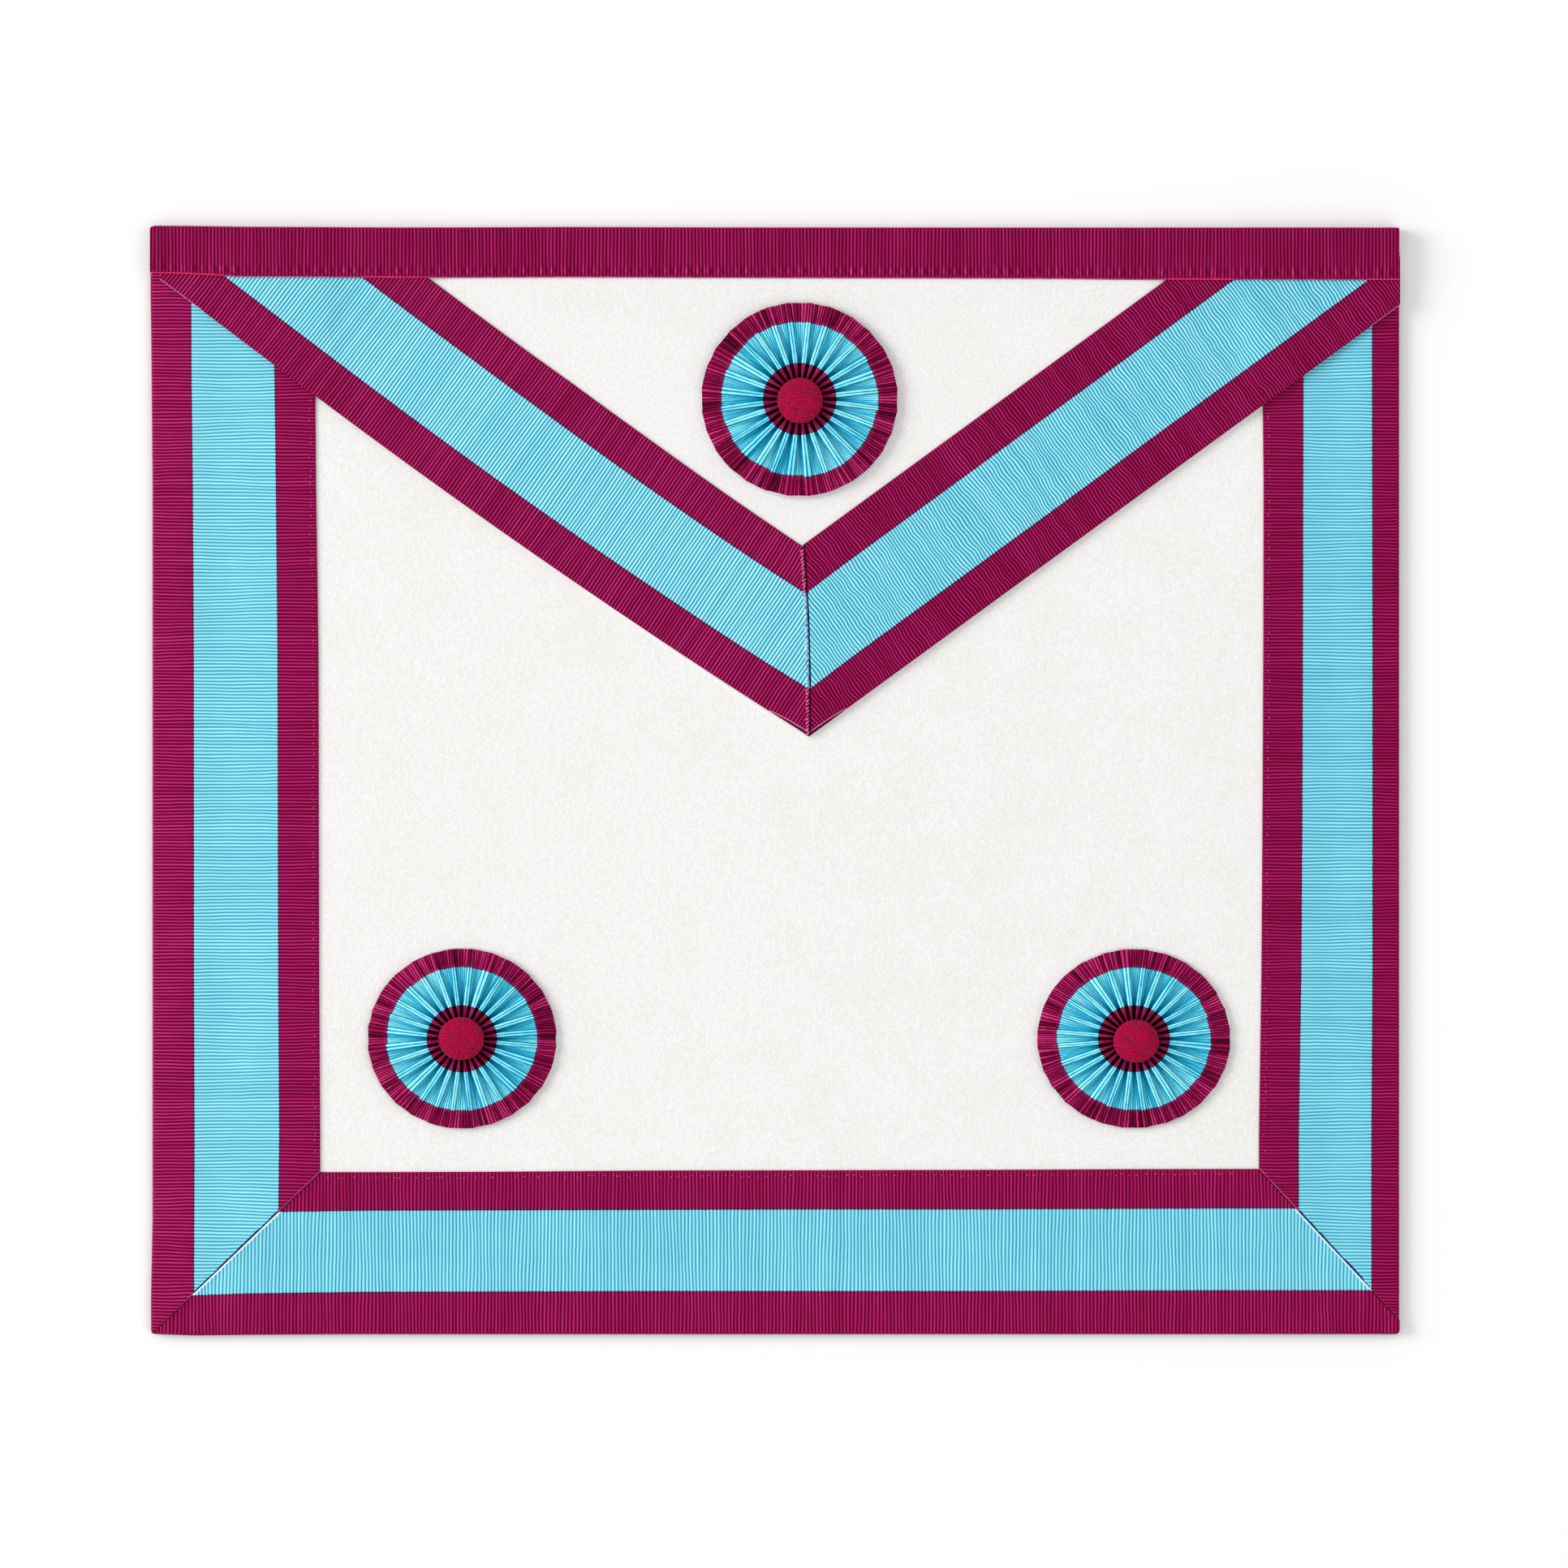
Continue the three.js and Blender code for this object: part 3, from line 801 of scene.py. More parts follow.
class Graph:
    """Short ways to add nodes to a material or a group."""

    def __init__(self, tree: bpy.types.NodeTree) -> None:
        """Works on one node tree."""
        self.tree = tree

    def feed(self, node: bpy.types.Node, inputs: dict[str | int, object]) -> None:
        """Links or sets a node's inputs.

        Args:
            node: the node.
            inputs: a socket or a value for each input, or None to leave it.
        """
        for key, value in inputs.items():
            if isinstance(value, Socket):
                self.tree.links.new(value, node.inputs[key])
            elif value is not None:
                node.inputs[key].default_value = value

    def node(
        self, kind: str, inputs: dict[str | int, object] | None = None, **settings: object
    ) -> bpy.types.Node:
        """Adds a node.

        Args:
            kind: the node's type.
            inputs: values or sockets for its inputs.
            settings: the node's own properties.

        Returns:
            The node.
        """
        made = self.tree.nodes.new(kind)
        for key, value in settings.items():
            setattr(made, key, value)
        self.feed(made, inputs or {})
        return made

    def math(self, operation: str, *inputs: object, clamp: bool = False) -> Socket:
        """The result of one sum of up to three values or sockets."""
        settings = {"operation": operation, "use_clamp": clamp}
        return self.node("ShaderNodeMath", dict(enumerate(inputs)), **settings).outputs[0]

    def fade(self, value: object, start: float, end: float) -> Socket:
        """0 where the value is at start, easing to 1 at end."""
        inputs = {"Value": value, "From Min": start, "From Max": end}
        return self.node("ShaderNodeMapRange", inputs, interpolation_type="SMOOTHSTEP").outputs[0]

    def mix(self, share: object, first: Socket | Colour, second: Socket | Colour) -> Socket:
        """Mixes two colours."""
        ends = [end if isinstance(end, Socket) else (*end, 1.0) for end in (first, second)]
        return self.node("ShaderNodeMix", {0: share, 6: ends[0], 7: ends[1]}, data_type="RGBA").outputs[2]

    def ramp(self, value: object, stops: Sequence[tuple[float, Colour]]) -> Socket:
        """Turns a value to a colour.

        Args:
            value: the value, 0 to 1.
            stops: places between 0 and 1 and the colours there.

        Returns:
            The colour.
        """
        made = self.node("ShaderNodeValToRGB", {0: value})
        elements = made.color_ramp.elements
        for element, (place, colour) in zip(elements, (stops[0], stops[-1])):
            element.position, element.color = place, (*colour, 1.0)
        for place, colour in stops[1:-1]:
            elements.new(place).color = (*colour, 1.0)
        return made.outputs[0]

    def noise(self, vector: object, scale: float, detail: float = 2.0, roughness: float = 0.5) -> Socket:
        """Noise between 0 and 1."""
        inputs = {"Vector": vector, "Scale": scale, "Detail": detail, "Roughness": roughness}
        return self.node("ShaderNodeTexNoise", inputs).outputs[0]

    def stretched_noise(self, vector: object, rates: Colour, detail: float = 1.0) -> Socket:
        """Noise whose grains have their own rate along each axis."""
        scaled = self.node("ShaderNodeVectorMath", {0: vector, 1: rates}, operation="MULTIPLY")
        return self.noise(scaled.outputs[0], 1.0, detail)

    def parts(self, vector: object) -> Sequence[Socket]:
        """A vector's three numbers."""
        return self.node("ShaderNodeSeparateXYZ", {0: vector}).outputs

    def painted(self, name: str, output: str = "Vector") -> Socket:
        """What is painted on the mesh under a name."""
        return self.node("ShaderNodeAttribute", attribute_name=name).outputs[output]

    def place(self) -> Socket:
        """The place on the piece, in metres."""
        return self.node("ShaderNodeTexCoord").outputs["Object"]

    def shared(self, tree: bpy.types.NodeTree, inputs: dict[str, object]) -> Sequence[Socket]:
        """Places a shared group and gives what it puts out."""
        return self.node("ShaderNodeGroup", inputs, node_tree=tree).outputs

    def bump(self, height: object, distance: float, strength: float) -> Socket:
        """A normal from a height."""
        inputs = {"Height": height, "Distance": distance, "Strength": strength}
        return self.node("ShaderNodeBump", inputs).outputs[0]


def new_group(
    name: str, inputs: dict[str, float | None], outputs: Sequence[str]
) -> tuple[Graph, dict[str, Socket], bpy.types.Node]:
    """Starts a shader node group.

    Args:
        name: the group's name.
        inputs: each number's default, or None for a vector.
        outputs: the names of the values that it puts out.

    Returns:
        A graph to build it with, its input sockets by name, and its output node.
    """
    tree = bpy.data.node_groups.new(name, "ShaderNodeTree")
    for key, default in inputs.items():
        kind = "NodeSocketVector" if default is None else "NodeSocketFloat"
        socket = tree.interface.new_socket(key, in_out="INPUT", socket_type=kind)
        if default is not None:
            socket.default_value = default
    for key in outputs:
        tree.interface.new_socket(key, in_out="OUTPUT", socket_type="NodeSocketFloat")
    graph = Graph(tree)
    sockets = {socket.name: socket for socket in graph.node("NodeGroupInput").outputs if socket.name}
    return graph, sockets, graph.node("NodeGroupOutput")


class Groups:
    """The shader node groups that several finishes share."""

    STREAK_RATES = (0.9, 0.11, 0.0)
    THREAD_RATES = (0.7, 3.4, 0.0)
    CLOUD_RATES = (0.035, 0.05, 0.0)
    FRAY_RATES = (0.55, 0.0, 0.0)
    EDGE_RATES = (0.3, 0.3, 0.0)
    PEBBLES_PER_METRE = 1500.0
    CREASES_PER_METRE = 1300.0
    MOTTLES_PER_METRE = 38.0
    CREASE_TURN = 0.7
    CREASE_STRETCH = 0.55

    def __init__(self) -> None:
        """Builds each group once."""
        self.rib_shading_and_tone = self.build_rib_shading_and_tone()
        self.stripe_masks = self.build_stripe_masks()
        self.grain = self.build_grain()

    def build_rib_shading_and_tone(self) -> bpy.types.NodeTree:
        """How light a ribbon is: painted highlight on its ribs' crests and painted shade in their grooves,
        with streaks and mottling.

        Returns:
            The group.
        """
        inputs = {"Weave": None, "Shade": 1.0, "Groove": 0.1, "Crest": 0.9, "Streak": 0.12, "Mottle": 0.08}
        graph, given, out = new_group("rib_shading_and_tone", inputs, ["Tone"])
        math_of, weave = graph.math, given["Weave"]
        # Painted shade in the grooves and painted highlight on the crests, by how far up its rib each corner
        # is
        rib = math_of("POWER", graph.parts(weave)[2], 2.0)
        span = math_of("SUBTRACT", given["Crest"], given["Groove"])
        base = math_of("ADD", given["Groove"], math_of("MULTIPLY", span, rib))
        streak = math_of("MULTIPLY", graph.stretched_noise(weave, self.STREAK_RATES), 1.4)
        thread = math_of("MULTIPLY", graph.stretched_noise(weave, self.THREAD_RATES), 0.6)
        cloud = graph.stretched_noise(weave, self.CLOUD_RATES, 2.0)
        centred = math_of("SUBTRACT", math_of("ADD", streak, thread), 1.0)
        lit = math_of("MULTIPLY", base, math_of("ADD", math_of("MULTIPLY", centred, given["Streak"]), 1.0))
        drift = math_of("MULTIPLY", math_of("SUBTRACT", cloud, 0.5), given["Mottle"])
        shaded = math_of("MULTIPLY", math_of("ADD", lit, drift), given["Shade"], clamp=True)
        graph.feed(out, {"Tone": shaded})
        return graph.tree

    def build_stripe_masks(self) -> bpy.types.NodeTree:
        """Where a striped ribbon is blue, where its woven line is, and where its edges get painted highlight
        and shadow lines.

        Returns:
            The group.
        """
        masks = ["Blue", "Line", "LiftedEdgeShading", "SunkEdgeShading"]
        graph, given, out = new_group("stripe_masks", {"Weave": None, "DyeAndShading": None}, masks)
        math_of, weave, dye_and_shading = graph.math, given["Weave"], graph.parts(given["DyeAndShading"])
        fray = graph.stretched_noise(weave, self.FRAY_RATES, 2.0)
        teeth = math_of("MULTIPLY", math_of("SUBTRACT", graph.parts(weave)[2], 0.45), 0.3)
        worn = math_of("MULTIPLY", math_of("SUBTRACT", fray, 0.5), 0.35)
        depth = math_of("ADD", dye_and_shading[0], math_of("ADD", teeth, worn))
        line = graph.fade(math_of("ABSOLUTE", math_of("ADD", depth, 0.12)), 0.24, 0.08)
        uneven = graph.stretched_noise(weave, self.EDGE_RATES, 2.0)
        reach = math_of("MULTIPLY_ADD", uneven, 0.5, 0.1)
        graph.feed(out, {"Blue": graph.fade(depth, -0.05, 0.05), "Line": line})
        # Masks for the painted highlight and shadow lines along lifted and sunk edges
        for axis, key in enumerate(masks[2:], start=1):
            inside = math_of("SUBTRACT", math_of("ABSOLUTE", dye_and_shading[axis]), reach)
            graph.feed(out, {key: graph.fade(inside, 0.1, -0.1)})
        return graph.tree

    def build_grain(self) -> bpy.types.NodeTree:
        """A fine pebbled grain with faint creases, for leather and cloth.

        Returns:
            The group.
        """
        graph, given, out = new_group("pebble_grain", {"Vector": None}, ["Height", "Mottle"])
        vector = given["Vector"]
        inputs = {"Vector": vector, "Scale": self.PEBBLES_PER_METRE}
        pebbles = graph.node("ShaderNodeTexVoronoi", inputs, feature="SMOOTH_F1").outputs["Distance"]
        turn, stretch = (0.0, 0.0, self.CREASE_TURN), (1.0, self.CREASE_STRETCH, 1.0)
        slant = graph.node("ShaderNodeMapping", {"Vector": vector, "Rotation": turn, "Scale": stretch})
        creases = graph.noise(slant.outputs[0], self.CREASES_PER_METRE, 3.0, 0.65)
        height = graph.math("ADD", graph.math("MULTIPLY", pebbles, 0.55), creases)
        mottle = graph.noise(vector, self.MOTTLES_PER_METRE, 4.0, 0.6)
        graph.feed(out, {"Height": height, "Mottle": mottle})
        return graph.tree


def new_material(name: str) -> tuple[bpy.types.Material, Graph, bpy.types.Node]:
    """Starts a node material.

    Args:
        name: the material's name.

    Returns:
        The material, a graph to build it with, and its shader.
    """
    material = bpy.data.materials.new(name)
    material.use_nodes = True
    tree = material.node_tree
    tree.nodes.clear()
    graph = Graph(tree)
    shader = graph.node("ShaderNodeBsdfPrincipled")
    graph.node("ShaderNodeOutputMaterial", {0: shader.outputs[0]})
    return material, graph, shader


def even_stops(*colours: tuple[int, int, int]) -> Sequence[tuple[float, Colour]]:
    """A ramp's stops, evenly apart, from a thread's darkest colour to its lightest."""
    last = len(colours) - 1
    return tuple((number / last, srgb(*colour)) for number, colour in enumerate(colours))


BLUE_THREAD = even_stops(
    (38, 130, 162), (80, 172, 200), (128, 214, 234), (162, 246, 255), (200, 255, 255)
)
CRIMSON_THREAD = even_stops((70, 0, 26), (106, 0, 44), (146, 4, 76), (188, 40, 115), (220, 80, 150))
ROSETTE_BLUE = even_stops((0, 44, 66), (0, 118, 158), (6, 168, 208), (84, 212, 240), (166, 254, 255))
ROSETTE_CRIMSON = even_stops((14, 0, 6), (72, 0, 26), (122, 4, 58), (164, 12, 86), (202, 58, 122))


@dataclass(frozen=True)
class GrosgrainFinish:
    """Dyed grosgrain: ribs with painted highlight and shade, streaks, a woven line between stripes, and
    painted highlight and shadow lines along some edges.
    """

    name: str
    blue: Sequence[tuple[float, Colour]] = BLUE_THREAD
    crimson: Sequence[tuple[float, Colour]] = CRIMSON_THREAD
    # Tone in the ribs' grooves and on their crests, painted shade and painted highlight
    groove: float = 0.12
    crest: float = 0.88
    streak: float = 0.14
    mottle: float = 0.1
    line: Colour = srgb(26, 30, 76)
    line_strength: float = 0.8
    # Colours of the painted lines along a lifted and a sunk edge: over blue a painted highlight and a painted
    # shadow, over crimson as each finish sets them
    lifted_edge_highlight_blue: Colour = srgb(226, 246, 255)
    lifted_edge_shading_crimson: Colour = srgb(70, 0, 30)
    sunk_edge_shadow_blue: Colour = srgb(22, 34, 84)
    sunk_edge_shading_crimson: Colour = srgb(206, 84, 140)
    crimson_shade: float = 1.0

    def build(self, groups: Groups) -> bpy.types.Material:
        """Makes the material.

        Args:
            groups: the shared node groups.

        Returns:
            The material.
        """
        material, graph, shader = new_material(self.name)
        weave = graph.painted("weave")
        inputs = {
            "Weave": weave,
            "Shade": graph.painted("tone", "Fac"),
            "Groove": self.groove,
            "Crest": self.crest,
            "Streak": self.streak,
            "Mottle": self.mottle,
        }
        tone = graph.shared(groups.rib_shading_and_tone, inputs)["Tone"]
        masks = graph.shared(groups.stripe_masks, {"Weave": weave, "DyeAndShading": graph.painted("dye_and_shading")})
        blue = masks["Blue"]
        crimson = graph.ramp(graph.math("MULTIPLY", tone, self.crimson_shade), self.crimson)
        colour = graph.mix(blue, crimson, graph.ramp(tone, self.blue))
        colour = graph.mix(graph.math("MULTIPLY", masks["Line"], self.line_strength), colour, self.line)
        # Painted highlight and shadow lines along the lifted and sunk edges
        lifted = graph.mix(blue, self.lifted_edge_shading_crimson, self.lifted_edge_highlight_blue)
        sunk = graph.mix(blue, self.sunk_edge_shading_crimson, self.sunk_edge_shadow_blue)
        colour = graph.mix(masks["LiftedEdgeShading"], colour, lifted)
        dress = {
            "Base Color": graph.mix(masks["SunkEdgeShading"], colour, sunk),
            "Roughness": graph.math("MULTIPLY_ADD", tone, -0.12, 0.72),
            "Normal": graph.bump(tone, 0.00008, 0.5),
            "Specular IOR Level": 0.05,
            "Sheen Weight": 0.02,
            "Sheen Roughness": 0.4,
        }
        graph.feed(shader, dress)
        return material


@dataclass(frozen=True)
class LeatherFinish:
    """Soft white leather with a fine pebbled grain."""

    name: str = "white_leather"
    pale: Colour = srgb(247, 246, 245)
    dull: Colour = srgb(226, 224, 219)

    def build(self, groups: Groups) -> bpy.types.Material:
        """Makes the material.

        Args:
            groups: the shared node groups.

        Returns:
            The material.
        """
        material, graph, shader = new_material(self.name)
        height, mottle = graph.shared(groups.grain, {"Vector": graph.place()})
        fade = graph.math("MULTIPLY", graph.fade(mottle, 0.35, 0.75), 0.14)
        pores = graph.math("MULTIPLY", graph.fade(height, 0.95, 0.55), 0.45)
        worn = graph.math("ADD", fade, pores, clamp=True)
        dress = {
            "Base Color": graph.mix(worn, self.pale, self.dull),
            "Roughness": graph.math("MULTIPLY_ADD", mottle, 0.15, 0.6),
            "Normal": graph.bump(height, 0.0002, 0.34),
            "Specular IOR Level": 0.3,
        }
        graph.feed(shader, dress)
        return material


@dataclass(frozen=True)
class ButtonFinish:
    """Plain-woven crimson cloth, its threads running askew."""

    name: str = "button_cloth"
    dark: Colour = srgb(92, 0, 26)
    light: Colour = srgb(222, 20, 88)
    thread: float = 0.86
    turn: float = 40.0

    def build(self, groups: Groups) -> bpy.types.Material:
        """Makes the material.

        Args:
            groups: the shared node groups.

        Returns:
            The material.
        """
        material, graph, shader = new_material(self.name)
        place = graph.place()
        angle = (0.0, 0.0, math.radians(self.turn))
        turned = graph.parts(graph.node("ShaderNodeMapping", {"Vector": place, "Rotation": angle}).outputs[0])
        rate = 2 * math.pi / (self.thread * MM)
        waves = [graph.math("SINE", graph.math("MULTIPLY", turned[axis], rate)) for axis in (0, 1)]
        weave = graph.math("MULTIPLY_ADD", graph.math("MULTIPLY", *waves), 0.5, 0.5)
        height = graph.shared(groups.grain, {"Vector": place})["Height"]
        uneven = graph.math("MULTIPLY", graph.math("SUBTRACT", height, 0.9), 0.7)
        dress = {
            "Base Color": graph.mix(graph.math("ADD", weave, uneven, clamp=True), self.dark, self.light),
            "Roughness": 0.75,
            "Normal": graph.bump(weave, 0.00012, 0.6),
            "Specular IOR Level": 0.05,
            "Sheen Weight": 0.05,
        }
        graph.feed(shader, dress)
        return material


@dataclass(frozen=True)
class ThreadFinish:
    """Sewing thread, a little lighter and darker along its length."""

    name: str
    colour: Colour
    shadow: Colour

    def build(self) -> bpy.types.Material:
        """Makes the material.

        Returns:
            The material.
        """
        material, graph, shader = new_material(self.name)
        share = graph.fade(graph.noise(graph.place(), 900.0), 0.35, 0.65)
        colour = graph.mix(share, self.shadow, self.colour)
        graph.feed(shader, {"Base Color": colour, "Roughness": 0.5, "Specular IOR Level": 0.2})
        return material


@dataclass
class Finishes:
    """Every material of the apron."""

    groups: Groups = field(default_factory=Groups)

    def __post_init__(self) -> None:
        """Builds the materials."""
        groups = self.groups
        self.leather = LeatherFinish().build(groups)
        pale, dull = srgb(236, 228, 238), srgb(208, 196, 208)
        self.backing = LeatherFinish("rosette_backing", pale, dull).build(groups)
        self.button = ButtonFinish().build(groups)
        self.striped = GrosgrainFinish("striped_grosgrain").build(groups)
        self.flap = GrosgrainFinish(
            "flap_grosgrain",
            lifted_edge_shading_crimson=srgb(206, 130, 174),
            sunk_edge_shading_crimson=srgb(64, 0, 30),
            groove=0.0,
            crest=1.0,
            crimson_shade=0.9,
        ).build(groups)
        self.band = GrosgrainFinish(
            "crimson_grosgrain",
            lifted_edge_shading_crimson=srgb(244, 52, 104),
            sunk_edge_shading_crimson=srgb(214, 92, 146),
            groove=0.06,
            crest=0.84,
        ).build(groups)
        self.pleats = GrosgrainFinish(
            "rosette_grosgrain",
            blue=ROSETTE_BLUE,
            crimson=ROSETTE_CRIMSON,
            groove=0.0,
            crest=1.0,
            streak=0.42,
        ).build(groups)
        self.pink_thread = ThreadFinish("pink_thread", srgb(232, 128, 180), srgb(196, 70, 132)).build()
        self.dim_thread = ThreadFinish("dim_pink_thread", srgb(210, 84, 146), srgb(150, 30, 92)).build()
        self.pale_thread = ThreadFinish("pale_thread", srgb(230, 246, 255), srgb(112, 156, 204)).build()


# Sub-assemblies


@dataclass
class LeatherBody:
    """The apron's leather sheet."""

    lay: Lay
    edge: float = 1.3
    cells: tuple[int, int] = (112, 100)

    def build(self, material: bpy.types.Material) -> bpy.types.Object:
        """Makes the sheet from a grid laid over the hems.

        Args:
            material: its finish.

        Returns:
            The piece.
        """
        lay = self.lay
        wide, deep = lay.right - lay.left - 2 * self.edge, lay.top - lay.foot - 2 * self.edge
        piece = leather_grid("apron_leather", (wide, deep), self.cells)
        points = points_of(piece.data)
        points[:, 2] = lay.leather_high(points[:, 0], points[:, 1])
        set_points(piece.data, points)
        thicken(piece, lay.leather)
        declare(piece, material, Slot.LEATHER, "apron_body")
        return piece


def leather_grid(
    name: str, size: Point, cells: tuple[int, int], centre: Point = (0.0, 0.0)
) -> bpy.types.Object:
    """Adds a flat grid of a size, face up.

    Args:
        name: the piece's name.
        size: its width and depth.
        cells: how many cells go across and along.
        centre: its middle in the plan.

    Returns:
        The piece, its place in its mesh.
    """
    deselect()
    bpy.ops.mesh.primitive_grid_add(x_subdivisions=cells[0], y_subdivisions=cells[1], size=1.0)
    piece = bpy.context.active_object
    piece.name = piece.data.name = name
    bpy.ops.object.mode_set(mode="EDIT")
    bpy.ops.mesh.select_all(action="SELECT")
    bpy.ops.transform.resize(value=(size[0] * MM, size[1] * MM, 1.0), center_override=(0.0, 0.0, 0.0))
    bpy.ops.transform.translate(value=(centre[0] * MM, centre[1] * MM, 0.0))
    bpy.ops.object.mode_set(mode="OBJECT")
    return piece


def thicken(piece: bpy.types.Object, thick: float) -> None:
    """Gives a sheet its thickness downwards and smooths it.

    Args:
        piece: the sheet, whose mesh is its upper face.
        thick: its thickness.
    """
    deselect()
    piece.select_set(True)
    bpy.context.view_layer.objects.active = piece
    wall = piece.modifiers.new("wall", "SOLIDIFY")
    wall.thickness, wall.offset = thick * MM, -1.0
    bpy.ops.object.modifier_apply(modifier=wall.name)
    bpy.ops.object.shade_smooth_by_angle(angle=math.radians(50))


@dataclass
class Borders:
    """The three striped border ribbons, mitred at the foot's corners."""

    lay: Lay
    inner_left_foot: float = 54.7
    inner_right_foot: float = 44.7
    bottom: float = 52.5
    left_length: float = 346.0
    right_length: float = 342.0
    bottom_length: float = 400.0
    right_rise: float = 4.6
    outer_stripe: float = 11.5
    corner: float = 1.6
    overrun: float = 3.0
    hem_under_band: float = 1.3
    bulge_run: float = 12.0

    # Places along each ribbon and its width there, then where its blue starts and ends
    LEFT_WIDTH = ((-114.0, 54.0), (-62.0, 53.7), (42.0, 53.45), (94.0, 52.7), (133.0, 52.4))
    LEFT_BLUE = (
        ((-150.0, 13.75), (-114.0, 13.85), (-62.0, 13.65), (42.0, 13.6), (94.0, 13.3), (133.0, 12.9)),
        ((-137.0, 40.5), (-114.0, 40.75), (-62.0, 40.45), (42.0, 40.2), (94.0, 39.7), (133.0, 39.2)),
    )
    RIGHT_WIDTH = (
        *((-114.0, 45.05), (-62.0, 44.25), (-10.0, 43.9)),
        *((42.0, 43.65), (94.0, 43.55), (133.0, 43.9)),
    )
    RIGHT_BLUE = (
        ((-114.0, 9.15), (-62.0, 8.8), (42.0, 8.8), (133.0, 8.95)),
        ((-114.0, 32.15), (-62.0, 31.35), (-10.0, 31.0), (42.0, 30.85), (133.0, 30.65)),
    )
    FOOT_WIDTH = ((-131.0, 51.9), (-92.0, 52.0), (-40.0, 52.4), (64.0, 52.6), (116.0, 52.85), (142.0, 52.9))
    FOOT_BLUE = (
        (
            *((-187.0, 12.6), (-169.0, 13.2), (-131.0, 13.65), (-92.0, 13.75)),
            *((-40.0, 13.9), (64.0, 13.9), (142.0, 14.15)),
        ),
        ((-159.0, 39.0), (-131.0, 39.4), (-40.0, 39.65), (12.0, 39.8), (64.0, 39.8), (142.0, 40.1)),
    )
    # How far outwards the left and bottom edges stray
    LEFT_EDGE = (
        *((-177.0, 0.3), (-166.0, 0.36), (-140.0, -0.15), (94.0, -0.15)),
        *((133.0, 0.18), (146.0, 0.33), (156.0, 0.5)),
    )
    FOOT_EDGE = ((-200.0, 0.1), (-186.5, 0.6), (-170.0, 0.42), (-138.0, 0.2), (200.0, 0.18))
    # A mitre's extra rows of corners, and the bumps of its upper and its lower edge
    CREASES = (0.25, 0.55, 0.95)
    LIFTED_EDGE = ((0.2, 0.4, 0.4), (-0.15, 0.0, 0.1))
    SUNK_EDGE = ((-0.22, 0.0, 0.35),)

    @property
    def left_mitre(self) -> Line:
        """The seam from the left corner inwards."""
        lay = self.lay
        return Line.through((lay.left, lay.foot), (lay.left + self.inner_left_foot, lay.foot + self.bottom))

    @property
    def right_mitre(self) -> Line:
        """The seam from near the right corner inwards."""
        lay, inner = self.lay, self.inner_right_foot
        start = (lay.right, lay.foot + self.right_rise)
        return Line.through(start, (lay.right - inner, lay.foot + self.bottom))

    def build(self, material: bpy.types.Material) -> list[bpy.types.Object]:
        """Makes the ribbons and cuts their mitres.

        Args:
            material: their finish.

        Returns:
            The pieces.
        """
        lay = self.lay
        shared = {"high": lay.border_high, "hem": lay.hem}
        start, hem_end = lay.foot - self.overrun, lay.band + self.hem_under_band
        upright = {"start": start, "end": lay.tuck, "hem_end": hem_end, **shared}
        left = Ribbon(
            "border_left",
            StraightPath((lay.left, 0.0), (0.0, 1.0), (1.0, 0.0)),
            width=self.LEFT_WIDTH,
            blue=self.LEFT_BLUE,
            seed=3,
            pitch=1.061,
            shade=(1.04, 0.93),
            **upright,
        )
        right = Ribbon(
            "border_right",
            StraightPath((lay.right, 0.0), (0.0, 1.0), (-1.0, 0.0)),
            width=self.RIGHT_WIDTH,
            blue=self.RIGHT_BLUE,
            seed=5,
            pitch=1.045,
            shade=(0.86, 0.87),
            **upright,
        )
        bottom = Ribbon(
            "border_bottom",
            StraightPath((0.0, lay.foot), (1.0, 0.0), (0.0, 1.0)),
            lay.left - self.overrun,
            lay.right + self.overrun,
            width=self.FOOT_WIDTH,
            blue=self.FOOT_BLUE,
            seed=9,
            pitch=1.13,
            shade=(0.91, 0.9),
            **shared,
        )
        left_seam, right_seam = self.left_mitre, self.right_mitre
        cuts = (
            (left, [(left_seam, -1, False)], (self.inner_left_foot, self.left_length)),
            (right, [(right_seam, 1, False)], (self.inner_right_foot, self.right_length)),
            (bottom, [(left_seam, 1, True), (right_seam, -1, True)], (self.bottom, self.bottom_length)),
        )
        return [self.finish(*each, material) for each in cuts]

    def finish(
        self,
        ribbon: Ribbon,
        mitres: Sequence[tuple[Line, int, bool]],
        face: Point,
        material: bpy.types.Material,
    ) -> bpy.types.Object:
        """Cuts a ribbon's mitres, shapes their edges and dresses it.

        Args:
            ribbon: the ribbon.
            mitres: each seam, the side that is kept, and whether its edge is the lifted one.
            face: the face's width and length before it was sewn on; not used.
            material: its finish.

        Returns:
            The piece.
        """
        lay = self.lay
        mesh = ribbon.build()
        for line, side, _ in mitres:
            cut(mesh, line, side, 0.0, self.CREASES)
        cut(mesh, Line(lay.right, 0.0, -1.0, 0.0), 1, -0.001)
        points = points_of(mesh)
        dye_and_shading, across = painted(mesh, "dye_and_shading"), painted(mesh, "weave")[:, 1]
        is_top = points[:, 2] > lay.border_high(points[:, 0], points[:, 1]) - FACE_DEPTH
        is_blue = dye_and_shading[:, 0] > 0
